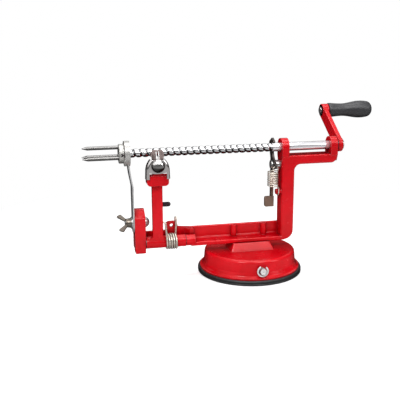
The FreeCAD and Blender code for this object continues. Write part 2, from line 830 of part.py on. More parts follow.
for side, sign in (("left", "-"), ("right", "")):
    primitive(
        casting, "SubtractiveCylinder", f"frame_screw_bore_{side}", "XY_Plane",
        (f"{sign}boss_reach", "boss_depth", "beam_bottom-1"),
        Radius="frame_screw_radius+press_gap", Height="frame_screw_depth+1.5",
    )
keep(casting, "frame_casting")

screws = []
for side, sign in (("left", "-"), ("right", "")):
    place = (f"{sign}boss_reach", "boss_depth")
    screws.append(rod(
        f"frame_screw_{side}", "z", (*place, "cover_top-cover_wall-3"),
        "frame_screw_radius", "beam_bottom+frame_screw_depth-cover_top+cover_wall+3",
    ))
    screws.append(rod(
        f"frame_screw_head_{side}", "z", (*place, "cover_top-cover_wall-3"),
        "frame_screw_radius+2", "3",
    ))
keep(fuse("frame_screws", *screws), "frame_screws")

# Peeler arm on its rod, swung against the fruit by a torsion spring.

keep(rod(
    "pivot_rod", "x", ("bracket_left+0.2", "pivot_depth", "pivot_height"),
    "rod_radius", "beam_left+2-bracket_left",
), "pivot_rod")

arm = new_body("peeler_arm")
primitive(
    arm, "AdditiveCylinder", "sleeve", "YZ_Plane",
    ("pivot_depth", "pivot_height", "bracket_right+pivot_gap"),
    Radius="sleeve_radius", Height="rod_boss_left-bracket_right-pivot_gap*2",
)
pad(
    arm, "arm_bar", "XZ_Plane", "-peeler_arm_back", "peeler_arm_back-peeler_arm_front",
    ("arm_centre-arm_half-4", "pivot_height+1"),
    ("arm_centre+arm_half+2.6", "pivot_height+1"),
    ("arm_centre+arm_half+2.6", "pivot_height+4.9", "4", -1),
    ("arm_centre+arm_half", "pivot_height+8.5"),
    ("arm_centre+arm_half", "head_bottom+2"),
    ("arm_centre-arm_half", "head_bottom+2"),
    ("arm_centre-arm_half", "pivot_height+8.5", "4", -1),
    ("arm_centre-arm_half-4", "pivot_height+4.5"),
)
dress(
    arm, "Fillet", "arm_round", "1.2",
    lambda e: upright_edge(e, AXES["z"]) and e.BoundBox.ZLength > 30,
)
pad(
    arm, "head", "XZ_Plane", "4.5", "-4.5-head_front",
    ("arm_centre-head_half", "head_bottom+3.5", "3.5", 1),
    ("arm_centre-head_half+3.5", "head_bottom"),
    ("arm_centre+head_half-3.5", "head_bottom", "3.5", 1),
    ("arm_centre+head_half", "head_bottom+3.5"),
    ("arm_centre+head_half", "head_top"),
    ("arm_centre-head_half", "head_top"),
)
pad(
    arm, "tongue", "XZ_Plane", "-tongue_front-tongue_thick", "tongue_thick",
    ("arm_centre-tongue_half", "head_top-1"),
    ("arm_centre+tongue_half", "head_top-1"),
    ("arm_centre+tongue_half", "tongue_top-2.5", "2.5", 1),
    ("arm_centre+tongue_half-2.5", "tongue_top"),
    ("arm_centre-tongue_half+2.5", "tongue_top", "2.5", 1),
    ("arm_centre-tongue_half", "tongue_top-2.5"),
)
primitive(
    arm, "SubtractiveCylinder", "rod_hole", "YZ_Plane",
    ("pivot_depth", "pivot_height", "bracket_right-1"),
    Radius="rod_radius+fit_gap", Height="rod_boss_left-bracket_right+2",
)
primitive(
    arm, "SubtractiveCylinder", "spring_hole", "YZ_Plane",
    ("spring_hole_depth", "spring_hole_height", "arm_centre+arm_half-4"),
    Radius="arm_spring_wire/2+0.3", Height="5",
)
primitive(
    arm, "SubtractiveCylinder", "dome_hole", "XZ_Plane",
    ("arm_centre", "dome_axis_height", "9"),
    Radius="blade_screw_radius+press_gap", Height="7",
)
primitive(
    arm, "SubtractiveCylinder", "rivet_hole", "XZ_Plane",
    ("arm_centre+1", "tab_height+tab_width/2", "3"),
    Radius="rivet_radius+press_gap", Height="4",
)
keep(arm, "peeler_arm")

tab = new_body("arm_tab")
pad(
    tab, "tab_plate", "XZ_Plane", "-peeler_arm_back-0.05-tab_thick", "tab_thick",
    ("arm_centre-2", "tab_height"),
    ("arm_centre+arm_half+tab_reach-2", "tab_height", "2", 1),
    ("arm_centre+arm_half+tab_reach", "tab_height+2"),
    ("arm_centre+arm_half+tab_reach", "tab_height+tab_width-2", "2", 1),
    ("arm_centre+arm_half+tab_reach-2", "tab_height+tab_width"),
    ("arm_centre-2", "tab_height+tab_width"),
)
primitive(
    tab, "SubtractiveCylinder", "tab_hole", "XZ_Plane",
    ("arm_centre+1", "tab_height+tab_width/2", "0"),
    Radius="rivet_radius+press_gap", Height="5",
)
keep(tab, "arm_tab")
keep(fuse(
    "tab_rivet",
    rod("rivet_shank", "y", ("arm_centre+1", "peeler_arm_back-2.6", "tab_height+tab_width/2"),
        "rivet_radius", "tab_thick+3"),
    rod("rivet_head", "y", ("arm_centre+1", "peeler_arm_back+0.1+tab_thick", "tab_height+tab_width/2"),
        "rivet_radius+0.7", "1"),
), "tab_rivet")

hood = new_body("blade_hood")
pad(
    hood, "hood_shell", "XZ_Plane", "10", "-10-hood_front",
    ("arm_centre-hood_half", "hood_bottom"),
    ("arm_centre+hood_half", "hood_bottom"),
    ("arm_centre+hood_half-0.3", "hood_bottom+7.5", "17", 1),
    ("arm_centre+blade_half+hood_wall+0.4", "hood_top-2.5"),
    ("arm_centre-blade_half-hood_wall-0.4", "hood_top-2.5", "17", 1),
    ("arm_centre-hood_half+0.3", "hood_bottom+7.5"),
)
dress(
    hood, "Fillet", "hood_round", "3",
    lambda e: near(e.BoundBox.YMax, value("hood_front")) and e.BoundBox.ZLength > 5,
)
pocket(
    hood, "hood_space", "XZ_Plane", "9.9", "-9.9-hood_front-hood_wall",
    ("arm_centre-hood_half+hood_wall", "hood_bottom-1"),
    ("arm_centre+hood_half-hood_wall", "hood_bottom-1"),
    ("arm_centre+hood_half-0.3-hood_wall", "hood_bottom+7.2", "15.9", 1),
    ("arm_centre+blade_half+0.4", "hood_top-1.9"),
    ("arm_centre-blade_half-0.4", "hood_top-1.9", "15.9", 1),
    ("arm_centre-hood_half+0.3+hood_wall", "hood_bottom+7.2"),
)
pocket(
    hood, "hood_mouth", "XZ_Plane", "-hood_front-hood_wall-3", "hood_wall+4",
    ("arm_centre-hood_half+3.4", "hood_bottom-1"),
    ("arm_centre+hood_half-3.4", "hood_bottom-1"),
    ("arm_centre+hood_half-3.4", "hood_lip+0.8", "38", -1),
    ("arm_centre-hood_half+3.4", "hood_lip+0.8"),
)
primitive(
    hood, "SubtractiveCylinder", "hood_hole", "XZ_Plane",
    ("arm_centre", "dome_axis_height", "12"),
    Radius="blade_screw_radius+0.1", Height="6",
)
keep(hood, "blade_hood")

blade = new_body("peeler_blade")
pad(
    blade, "blade_strip", "YZ_Plane", "arm_centre-blade_half", "blade_half*2",
    ("blade_face", "blade_bottom"),
    ("blade_face+blade_thick", "blade_bottom"),
    ("blade_face+blade_thick", "blade_bend"),
    ("blade_face+blade_thick+blade_lean", "blade_top-0.4"),
    ("blade_face+blade_lean", "blade_top"),
    ("blade_face", "blade_bend"),
)
dress(
    blade, "Fillet", "blade_round", "2.4",
    lambda e: e.BoundBox.ZMin > value("blade_top") - 1 and e.BoundBox.XLength < 0.01,
)
pocket(
    blade, "blade_slot", "XZ_Plane", "9", "8",
    ("arm_centre-blade_slot_half", "blade_bend+0.8"),
    ("arm_centre+blade_slot_half", "blade_bend+0.8"),
    ("arm_centre+blade_slot_half", "blade_top-2"),
    ("arm_centre-blade_slot_half", "blade_top-2"),
)
primitive(
    blade, "SubtractiveCylinder", "blade_hole", "XZ_Plane",
    ("arm_centre", "dome_axis_height", "12"),
    Radius="blade_screw_radius+0.1", Height="6",
)
keep(blade, "peeler_blade")

dome = doc.addObject("Part::Common", "dome")
ball = doc.addObject("Part::Sphere", "dome_ball")
bind(
    ball, Radius="dome_ball_radius", Placement__Base__x="arm_centre",
    Placement__Base__y="hood_front-press_gap-dome_height+dome_ball_radius",
    Placement__Base__z="dome_axis_height",
)
dome.Base = ball
dome.Tool = rod(
    "dome_blank", "y", ("arm_centre", "hood_front-press_gap-dome_height-1", "dome_axis_height"),
    "dome_radius+1", "dome_height+1",
)
keep(fuse(
    "blade_screw", dome,
    rod("blade_screw_shank", "y", ("arm_centre", "hood_front-1", "dome_axis_height"),
        "blade_screw_radius", "6"),
), "blade_screw")

# Coring blade on the left face of the bracket.

corer = new_body("corer_blade")
pad(
    corer, "strip", "XZ_Plane", "-strip_half", "strip_half*2",
    ("strip_right-strip_thick", "strip_bottom"),
    ("strip_right", "strip_bottom"),
    ("strip_right", "strip_bend_low"),
    ("strip_right-2.2", "strip_bend_high-2"),
    ("ring_right-1.2", "screw_axis_height-ring_radius+3.4"),
    ("ring_right-1.2-strip_thick", "screw_axis_height-ring_radius+3.4"),
    ("strip_right-2.2-strip_thick", "strip_bend_high-2"),
    ("strip_right-strip_thick", "strip_bend_low"),
)
dress(
    corer, "Fillet", "strip_foot", "strip_half-0.2",
    lambda e: near(e.BoundBox.ZMax, value("strip_bottom")) and e.BoundBox.YLength < 0.01,
)
primitive(
    corer, "AdditiveCylinder", "ring", "YZ_Plane", ("0", "screw_axis_height", "ring_left"),
    Radius="ring_radius", Height="ring_length",
)
primitive(
    corer, "SubtractiveCylinder", "ring_eye", "YZ_Plane", ("0", "screw_axis_height", "ring_left-1"),
    Radius="ring_radius-ring_wall", Height="ring_length+6",
)
pocket(
    corer, "bolt_slot", "YZ_Plane", "strip_right-strip_thick-0.6", "strip_thick+1.8",
    ("-bolt_radius-0.2", "bolt_height-slot_travel/2", "bolt_radius+0.2", 1),
    ("0", "bolt_height-slot_travel/2-bolt_radius-0.2", "bolt_radius+0.2", 1),
    ("bolt_radius+0.2", "bolt_height-slot_travel/2"),
    ("bolt_radius+0.2", "bolt_height+slot_travel/2", "bolt_radius+0.2", 1),
    ("0", "bolt_height+slot_travel/2+bolt_radius+0.2", "bolt_radius+0.2", 1),
    ("-bolt_radius-0.2", "bolt_height+slot_travel/2"),
)
keep(corer, "corer_blade")

bolt_head = doc.addObject("Part::Common", "bolt_head")
ball = doc.addObject("Part::Sphere", "bolt_ball")
bind(
    ball, Radius="bolt_ball_radius", Placement__Base__z="bolt_height",
    Placement__Base__x="bracket_right+bolt_head_height-bolt_ball_radius",
)
bolt_head.Base = ball
bolt_head.Tool = rod(
    "bolt_blank", "x", ("bracket_right", "0", "bolt_height"), "bolt_head_radius+1", "bolt_head_height+1",
)
keep(fuse(
    "carriage_bolt", bolt_head,
    rod("bolt_shank", "x", ("bracket_left-12", "0", "bolt_height"),
        "bolt_radius", "bracket_right-bracket_left+13"),
), "carriage_bolt")
keep(cut(
    "bolt_washer",
    rod("washer_disc", "x", ("washer_left", "0", "bolt_height"), "bolt_radius+3.1", "1.1"),
    rod("washer_hole", "x", ("washer_left-0.4", "0", "bolt_height"), "bolt_radius+0.1", "2"),
), "bolt_washer")

wing_nut = new_body("wing_nut")
for side, sign in (("upper", "+"), ("lower", "-")):
    corners = [
        ("nut_face-0.6", "bolt_height"),
        ("nut_face-0.6", f"bolt_height{sign}4.6"),
        ("nut_face-6", f"bolt_height{sign}(nut_wing_reach-1)"),
        ("nut_face-8.4", f"bolt_height{sign}nut_wing_reach"),
        ("nut_face-11", f"bolt_height{sign}(nut_wing_reach-1.4)"),
        ("nut_face-11", f"bolt_height{sign}(nut_wing_reach-4.2)"),
        ("nut_face-5.6", f"bolt_height{sign}3.4"),
        ("nut_face-5.6", "bolt_height"),
    ]
    pad(wing_nut, f"{side}_wing", "XZ_Plane", "-2", "4", *corners)
dress(
    wing_nut, "Fillet", "wing_round", "1.4",
    lambda e: upright_edge(e, AXES["y"]) and abs(e.BoundBox.ZMin - value("bolt_height")) > 8,
)
primitive(
    wing_nut, "AdditiveCone", "nut_hub", "YZ_Plane", ("0", "bolt_height", "nut_face-5.4"),
    Radius1="4", Radius2="5", Height="5.4",
)
primitive(
    wing_nut, "SubtractiveCylinder", "nut_bore", "YZ_Plane", ("0", "bolt_height", "nut_face-12"),
    Radius="bolt_radius+fit_gap", Height="13",
)
keep(wing_nut, "wing_nut")

# Drive screw with the fruit fork on its left end.

drive = new_body("drive_screw")
revolution(
    drive, "screw_turning", "XZ_Plane", "X_Axis",
    ("hub_left+0.4", "0"),
    ("crank_right-0.8", "0"),
    ("crank_right-0.8", "shank_radius-0.6"),
    ("crank_right-1.4", "shank_radius"),
    ("latch_left-1", "shank_radius"),
    ("latch_left-1", "screw_radius"),
    ("hub_right", "screw_radius"),
    ("hub_right", "spigot_radius"),
    ("hub_left+0.4", "spigot_radius"),
)
bind(drive, Placement__Base__z="screw_axis_height")
primitive(
    drive, "SubtractiveCylinder", "crank_screw_bore", "YZ_Plane",
    ("0", "0", "crank_right-10"),
    Radius="crank_screw_radius+press_gap", Height="12",
)
keep(drive, "drive_screw")

hub = new_body("fork_hub")
primitive(
    hub, "AdditiveCylinder", "hub_disc", "YZ_Plane", ("0", "screw_axis_height", "hub_left"),
    Radius="hub_radius", Height="hub_length-0.05",
)
dress(
    hub, "Chamfer", "hub_bevel", "0.5",
    lambda e: isinstance(e.Curve, Part.Circle) and near(e.Curve.Radius, value("hub_radius")),
)
primitive(
    hub, "SubtractiveCylinder", "hub_bore", "YZ_Plane", ("0", "screw_axis_height", "hub_left-1"),
    Radius="spigot_radius+press_gap", Height="hub_length+2",
)
for angle in (90, 210, 330):
    primitive(
        hub, "SubtractiveCylinder", f"prong_seat_{angle}", "YZ_Plane",
        (f"prong_circle*cos({angle})", f"screw_axis_height+prong_circle*sin({angle})", "hub_left-1"),
        Radius="prong_radius+press_gap", Height="prong_seat+1",
    )
primitive(
    hub, "SubtractiveCylinder", "set_screw_bore", "XZ_Plane",
    ("hub_right-1.5", "screw_axis_height", "0"),
    Radius="set_screw_radius+press_gap", Height="hub_radius+1",
)
keep(hub, "fork_hub")
keep(rod(
    "fork_set_screw", "y", ("hub_right-1.5", "-hub_radius+0.2", "screw_axis_height"),
    "set_screw_radius", "hub_radius-spigot_radius-0.3",
), "fork_set_screw")

prongs = []
for angle in (90, 210, 330):
    place = (f"prong_circle*cos({angle})", f"screw_axis_height+prong_circle*sin({angle})")
    prongs.append(rod(
        f"prong_{angle}", "x", ("prong_left+prong_tip", *place),
        "prong_radius", "prong_length-prong_tip",
    ))
    prongs.append(solid(
        "Cone", f"prong_tip_{angle}", "x", ("prong_left", *place),
        Radius1="0.35", Radius2="prong_radius", Height="prong_tip",
    ))
keep(fuse("fork_prongs", *prongs), "fork_prongs")

# Thread latch: its notch holds the screw and swings clear when the thumb tab is pressed.

latch = new_body("thread_latch")
pad(
    latch, "latch_plate", "YZ_Plane", "latch_left", "latch_thick",
    ("2", "latch_foot"),
    ("8.5", "latch_foot"),
    ("7.5", "latch_foot+37"),
    ("7.5", "screw_axis_height-12", "30", -1),
    ("11.5", "screw_axis_height-4", "14", 1),
    ("12", "screw_axis_height+4.2"),
    ("4.5", "screw_axis_height+8.8"),
    ("-4", "screw_axis_height+4.8"),
    ("0", "screw_axis_height+notch_radius", "notch_radius", -1),
    ("notch_radius*cos(50)", "screw_axis_height-notch_radius*sin(50)", "16.3", -1),
    ("ear_hole_depth-2.7", "ear_hole_height+2.5"),
    ("ear_hole_depth-2.2", "ear_hole_height-1.6"),
    ("-1", "latch_spring_top+1.2"),
    ("2.2", "latch_spring_top-3"),
)
dress(
    latch, "Fillet", "latch_round", "0.9",
    lambda e: upright_edge(e, AXES["x"]) and (
        e.BoundBox.ZMin > value("screw_axis_height+4")
        or e.BoundBox.YMax < value("ear_hole_depth")
    ) and abs(e.BoundBox.YMin) > 0.1,
)
primitive(
    latch, "AdditiveBox", "thumb_tab", "XY_Plane",
    ("latch_right-thumb_tab_length", "0", "thumb_tab_bottom"),
    Length="thumb_tab_length", Width="latch_thick+0.5", Height="thumb_tab_height",
)
dress(
    latch, "Fillet", "tab_round", "1.8",
    lambda e: upright_edge(e, AXES["y"]) and near(e.BoundBox.XMin, value("latch_right-thumb_tab_length")),
)
primitive(
    latch, "SubtractiveCylinder", "ear_hole", "YZ_Plane",
    ("ear_hole_depth", "ear_hole_height", "latch_left-1"),
    Radius="ear_hole_radius", Height="latch_thick+2",
)
primitive(
    latch, "SubtractiveCylinder", "latch_pivot_hole", "YZ_Plane",
    ("latch_pivot_depth", "latch_pivot_height", "latch_left-1"),
    Radius="latch_bolt_radius+press_gap", Height="latch_thick+2",
)
keep(latch, "thread_latch")

place = ("latch_pivot_depth", "latch_pivot_height")
keep(fuse(
    "latch_pivot_bolt",
    rod("latch_bolt_head", "x", ("latch_left-1.8", *place), "latch_head_radius", "1.7"),
    rod("latch_bolt_shank", "x", ("latch_left-0.5", *place), "latch_bolt_radius", "15.5"),
), "latch_pivot_bolt")
keep(cut(
    "latch_spacer",
    rod("spacer_tube", "x", ("latch_right+0.1", *place), "latch_spacer_radius",
        "front_ear_left-latch_right-0.15"),
    rod("spacer_hole", "x", ("latch_left", *place), "latch_bolt_radius+press_gap", "10"),
), "latch_spacer")

# Crank, its handle and the washer between the crank and the rear ear.

keep(cut(
    "thrust_washer",
    rod("thrust_disc", "x", ("rear_ear_left+ear_width+face_gap", "0", "screw_axis_height"),
        "washer_radius", "washer_thick"),
    rod("thrust_hole", "x", ("rear_ear_left+ear_width", "0", "screw_axis_height"),
        "shank_radius+fit_gap", "washer_thick+1"),
), "thrust_washer")

crank = new_body("crank_arm")
primitive(
    crank, "AdditiveCylinder", "crank_boss", "YZ_Plane", ("0", "screw_axis_height", "crank_left"),
    Radius="crank_boss_radius", Height="crank_boss_length",
)
pad(
    crank, "crank_bar", "YZ_Plane", "crank_arm_left", "crank_arm_thick",
    ("6.4*cos(crank_angle)", "screw_axis_height-6.4*sin(crank_angle)"),
    ("crank_end_depth+5.2*cos(crank_angle)", "crank_end_height-5.2*sin(crank_angle)"),
    ("crank_end_depth-5.2*cos(crank_angle)", "crank_end_height+5.2*sin(crank_angle)"),
    ("-6.4*cos(crank_angle)", "screw_axis_height+6.4*sin(crank_angle)"),
)
primitive(
    crank, "AdditiveCylinder", "crank_end", "YZ_Plane", ("crank_end_depth", "crank_end_height", "crank_arm_left"),
    Radius="crank_end_radius", Height="crank_arm_thick",
)
primitive(
    crank, "SubtractiveCylinder", "crank_bore", "YZ_Plane", ("0", "screw_axis_height", "crank_left-1"),
    Radius="shank_radius+press_gap", Height="crank_boss_length+2",
)
primitive(
    crank, "SubtractiveCylinder", "pin_hole", "YZ_Plane", ("crank_end_depth", "crank_end_height", "crank_left-1"),
    Radius="handle_pin_radius+press_gap", Height="crank_boss_length+2",
)
keep(crank, "crank_arm")

keep(fuse(
    "crank_screw",
    rod("crank_screw_head", "x", ("crank_right+press_gap", "0", "screw_axis_height"), "shank_radius+1", "2"),
    rod("crank_screw_shank", "x", ("crank_right-9", "0", "screw_axis_height"),
        "crank_screw_radius", "9.5"),
), "crank_screw")

handle = new_body("crank_handle")
revolution(
    handle, "handle_turning", "XZ_Plane", "X_Axis",
    ("handle_left", "handle_pin_radius+0.1"),
    ("handle_left", "handle_collar_radius-0.8", "0.8", -1),
    ("handle_left+0.8", "handle_collar_radius"),
    ("handle_left+3", "handle_collar_radius", "50", 1),
    ("handle_left+29", "handle_bulb_radius-0.3", "42", -1),
    ("handle_tip-7.8", "handle_bulb_radius-0.4", "8.6", -1),
    ("handle_tip", "0"),
    ("handle_tip-7.4", "0"),
    ("handle_tip-7.4", "pin_head_radius+0.3"),
    ("pin_head_left-0.2", "pin_head_radius+0.3"),
    ("pin_head_left-0.2", "handle_pin_radius+0.1"),
)
bind(handle, Placement__Base__y="crank_end_depth", Placement__Base__z="crank_end_height")
keep(handle, "crank_handle")

keep(fuse(
    "handle_rivet",
    rod("pin_foot", "x", ("crank_arm_left-1.3", "crank_end_depth", "crank_end_height"), "handle_pin_radius+1", "1.25"),
    rod("pin", "x", ("crank_arm_left-1", "crank_end_depth", "crank_end_height"), "handle_pin_radius",
        "pin_head_left-crank_arm_left+1.2"),
    rod("pin_head", "x", ("pin_head_left", "crank_end_depth", "crank_end_height"),
        "pin_head_radius", "pin_head_height"),
), "handle_rivet")


def tangent_arcs(nodes):
    """A wire through (point, direction) pairs, joined by straight lines or by two tangent arcs."""
    edges = []
    for (p0, t0), (p1, t1) in zip(nodes, nodes[1:]):
        run = p1 - p0
        if t0.cross(run).Length < 1e-6 * run.Length and t1.cross(run).Length < 1e-6 * run.Length:
            edges.append(Part.makeLine(p0, p1))
            continue
        both = t0 + t1
        spread = 4 - both.dot(both)
        reach = (-run.dot(both) + math.sqrt(run.dot(both) ** 2 + spread * run.dot(run))) / spread
        q0, q1 = p0 + t0 * reach, p1 - t1 * reach
        joint = (q0 + q1) / 2
        for a, q, b in ((p0, q0, joint), (joint, q1, p1)):
            centre, half = (a + b) / 2, (b - a).Length / 2
            lean = math.acos(min(1, half / reach))
            if lean < 1e-5:
                edges.append(Part.makeLine(a, b))
                continue
            towards = (q - centre).normalize()
            middle = centre + towards * (half * math.tan(lean / 2))
            edges.append(Part.Arc(a, middle, b).toShape())
    return Part.Wire(edges)


def wound(name, nodes, wire):
    """One unbroken round wire along a path, with its least gap to itself printed."""
    path = tangent_arcs(nodes)
    start, direction = nodes[0]
    profile = Part.Wire([Part.makeCircle(wire / 2, start, direction)])
    tube = path.makePipeShell([profile], True, False)
    points = path.discretize(Distance=0.5)
    step = path.Length / (len(points) - 1)
    skip = int(3 * wire / step) + 1
    least = min(
        (points[i] - points[j]).Length
        for i in range(len(points)) for j in range(i + skip, len(points))
    )
    print(f"{name}: length {path.Length:.1f}, least gap {least - wire:.2f}, solids {len(tube.Solids)}")
    obj = doc.addObject("Part::Feature", name)
    obj.Shape = tube
    return keep(obj, name)


def vec(x, y, z):
    return FreeCAD.Vector(x, y, z)


# Torsion spring round the sleeve: one leg in the arm, the other hooked over the lug.

wire = value("arm_spring_wire")
radius, pitch = value("arm_spring_radius"), value("arm_spring_pitch")
cy, cz = value("pivot_depth"), value("pivot_height")
leg = vec(0, value("spring_hole_depth") - cy, value("spring_hole_height") - cz)
first = math.atan2(leg.z, leg.y) + math.acos(radius / leg.Length)
last = 10 * math.pi
drift = pitch / (2 * math.pi)


def round_sleeve(turn):
    point = vec(
        value("arm_spring_left") + drift * (turn - first),
        cy + radius * math.cos(turn), cz + radius * math.sin(turn),
    )
    return point, vec(drift, -radius * math.sin(turn), radius * math.cos(turn)).normalize()


coil = [round_sleeve(first + (last - first) * i / 18) for i in range(19)]
p, t = coil[0]
corner = p - t * ((value("spring_hole_height") - p.z) / -t.z)
bend = 1.0 * wire
inward = vec(1, 0, 0)
nodes = [
    (corner - inward * (bend + 2 * wire), inward),
    (corner - inward * bend, inward),
    (corner + t * bend, t),
] + coil
p, t = coil[-1]
top = p + t * ((value("spring_hook_height") - p.z) / t.z)
hook = (value("web_front") + value("web_back")) / 2 - p.y
over = vec(0, 1, 0)
over = (over - t * over.dot(t)).normalize()
nodes += [
    (top, t),
    (top + (t + over) * hook, over),
    (top + over * 2 * hook, -t),
    (top + over * 2 * hook - t * 3, -t),
]
wound("arm_spring", nodes, wire)

# Tension spring between the latch's ear and the peg on the upright.

wire = value("latch_spring_wire")
radius, pitch = value("latch_spring_radius"), value("latch_spring_pitch")
cx, cy = value("latch_spring_across"), value("latch_spring_depth")
run = value("latch_spring_top-peg_height") - 6.6
turns = max(1, round(run / pitch - 283.4 / 360))
first, last = math.radians(16.6), math.radians(300 + 360 * turns)
drift = run / (last - first)


def round_axis(turn):
    point = vec(
        cx + radius * math.cos(turn), cy + radius * math.sin(turn),
        value("latch_spring_top") - drift * (turn - first),
    )
    return point, vec(-radius * math.sin(turn), radius * math.cos(turn), -drift).normalize()


steps = 4 * turns + 4
coil = [round_axis(first + (last - first) * i / steps) for i in range(steps + 1)]
ex, ey, ez = value("latch_left+latch_thick/2"), value("ear_hole_depth"), value("ear_hole_height")
px, py, pz = value("latch_right+2.4"), value("peg_depth"), value("peg_height")
reach = value("peg_radius") + wire / 2 + 0.3
down, along = vec(0, 0, -1), vec(1, 0, 0)
nodes = [
    (vec(ex - 2.6, ey, ez - 3), -down),
    (vec(ex - 2.6, ey, ez - 1.6), -down),
    (vec(ex - 1, ey, ez), along),
    (vec(ex + 0.4, ey, ez), along),
    (vec(ex + 2.4, ey, ez - 2), down),
] + coil + [
    (vec(px, py - reach, pz + 2.6), down),
    (vec(px, py - reach, pz), down),
    (vec(px, py, pz - reach), vec(0, 1, 0)),
    (vec(px, py + reach, pz), -down),
    (vec(px, py + reach, pz + wire), -down),
]
wound("latch_spring", nodes, wire)

doc.recompute()
for obj in doc.Objects:
    bad = [s for s in obj.State if s in ("Invalid", "Error")]
    if bad:
        raise RuntimeError(f"{obj.Name}: {bad}")
for obj in PARTS:
    if obj.Shape.isNull() or not obj.Shape.isValid():
        raise RuntimeError(f"{obj.Label}: bad shape")
os.makedirs("parts", exist_ok=True)
for obj in PARTS:
    obj.Shape.exportStep(f"parts/{obj.Label}.step")
    print(obj.Label, len(obj.Shape.Solids), round(obj.Shape.Volume), obj.Shape.BoundBox)
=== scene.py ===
import json
import math

import bmesh
import bpy
from mathutils import Matrix, Vector
from mathutils.geometry import tessellate_polygon


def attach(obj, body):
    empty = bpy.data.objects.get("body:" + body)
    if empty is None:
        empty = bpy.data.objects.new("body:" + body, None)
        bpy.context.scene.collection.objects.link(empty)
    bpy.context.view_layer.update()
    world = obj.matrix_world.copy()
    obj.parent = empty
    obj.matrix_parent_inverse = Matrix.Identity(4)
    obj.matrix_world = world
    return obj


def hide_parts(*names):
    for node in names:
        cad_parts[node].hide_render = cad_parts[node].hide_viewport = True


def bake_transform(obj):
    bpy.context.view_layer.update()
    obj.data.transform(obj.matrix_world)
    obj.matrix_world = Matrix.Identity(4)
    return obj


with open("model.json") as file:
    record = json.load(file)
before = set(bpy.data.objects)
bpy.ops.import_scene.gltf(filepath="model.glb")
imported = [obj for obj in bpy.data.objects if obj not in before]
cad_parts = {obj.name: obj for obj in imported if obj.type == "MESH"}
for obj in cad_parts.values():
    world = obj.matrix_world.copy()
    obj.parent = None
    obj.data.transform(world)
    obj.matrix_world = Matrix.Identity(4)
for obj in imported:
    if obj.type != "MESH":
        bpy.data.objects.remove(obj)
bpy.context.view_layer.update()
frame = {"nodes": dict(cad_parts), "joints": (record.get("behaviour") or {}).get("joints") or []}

MM = 0.001
TINY = 1e-6
TURN = 2 * math.pi
X, Y, Z = Vector((1, 0, 0)), Vector((0, 1, 0)), Vector((0, 0, 1))

# Places that several pieces share, in millimetres: lines of the joints, and the middle of the arm's head.

JOINTS = {joint["name"]: joint for joint in frame["joints"]}


def joint_place(name):
    return [c / MM for c in JOINTS[name]["pos_m"]]


SCREW_Z = joint_place("crank_turn")[2]
GRIP_Y, GRIP_Z = joint_place("handle_spin")[1:]
SHAFT_Z = joint_place("lever_turn")[2]
BOLT_Z = joint_place("wing_nut_turn")[2]
ARM_PIVOT = Vector((0, *joint_place("arm_swing")[1:]))
HEAD_X = -94.0

# Meshes, made from points in millimetres. Edges sharper than the SHARP angles, in degrees, stay sharp.

ARC_STEP = 0.5
SHARP_SKIN, SHARP_TURNED, SHARP_PLATE, SHARP_BEVEL = 50, 32, 30, 40


def mesh_object(name, verts, faces):
    """An object with all its faces turned outward."""
    mesh = bpy.data.meshes.new(name)
    mesh.from_pydata([tuple(float(c) * MM for c in v) for v in verts], [], faces)
    mesh.validate()
    reshape(mesh, lambda shape: bmesh.ops.recalc_face_normals(shape, faces=shape.faces))
    obj = bpy.data.objects.new(name, mesh)
    bpy.context.scene.collection.objects.link(obj)
    return obj


def reshape(mesh, change):
    shape = bmesh.new()
    shape.from_mesh(mesh)
    change(shape)
    shape.to_mesh(mesh)
    shape.free()


def soften(obj, angle):
    """Smooth shading that keeps edges sharper than an angle."""
    for polygon in obj.data.polygons:
        polygon.use_smooth = True
    obj.data.set_sharp_from_angle(angle=math.radians(angle))
    return obj


def polar(radius, angle):
    return radius * math.cos(angle), radius * math.sin(angle)


def skin(name, rings):
    """A closed form over rings of points, with a flat face at each end."""
    sides = len(rings[0])
    faces = []
    for i in range(len(rings) - 1):
        for k in range(sides):
            n = (k + 1) % sides
            faces.append((i * sides + k, i * sides + n, (i + 1) * sides + n, (i + 1) * sides + k))
    faces.append(tuple(range(sides))[::-1])
    faces.append(tuple((len(rings) - 1) * sides + k for k in range(sides)))
    return soften(mesh_object(name, [point for ring in rings for point in ring], faces), SHARP_SKIN)


def turned(name, profile, centre, axis, sides):
    """A solid of revolution; its (radius, height) points run from axis to axis, or round a ring's wall."""
    if profile[0][0] > TINY:
        profile = profile + profile[:1]
    verts, faces, rings = [], [], []
    for radius, height in profile:
        count = 1 if radius < TINY else sides
        rings.append(range(len(verts), len(verts) + count))
        verts += [(*polar(radius, TURN * k / sides), height) for k in range(count)]
    for low, high in zip(rings, rings[1:]):
        for k in range(sides):
            n = (k + 1) % sides
            corners = (low[k % len(low)], low[n % len(low)], high[n % len(high)], high[k % len(high)])
            face = tuple(dict.fromkeys(corners))
            if len(face) > 2:
                faces.append(face)
    order = {"z": (0, 1, 2), "x": (2, 0, 1), "y": (1, 2, 0)}[axis]
    placed = [tuple(v[order[i]] + centre[i] for i in range(3)) for v in verts]
    return soften(mesh_object(name, placed, faces), SHARP_TURNED)


def quarter_round(radius, height, base, steps):
    """Profile points of a dome, from its rim to its top."""
    angles = [math.radians(90 * i / steps) for i in range(steps + 1)]
    return [(radius * math.cos(a), base + height * math.sin(a)) for a in angles]


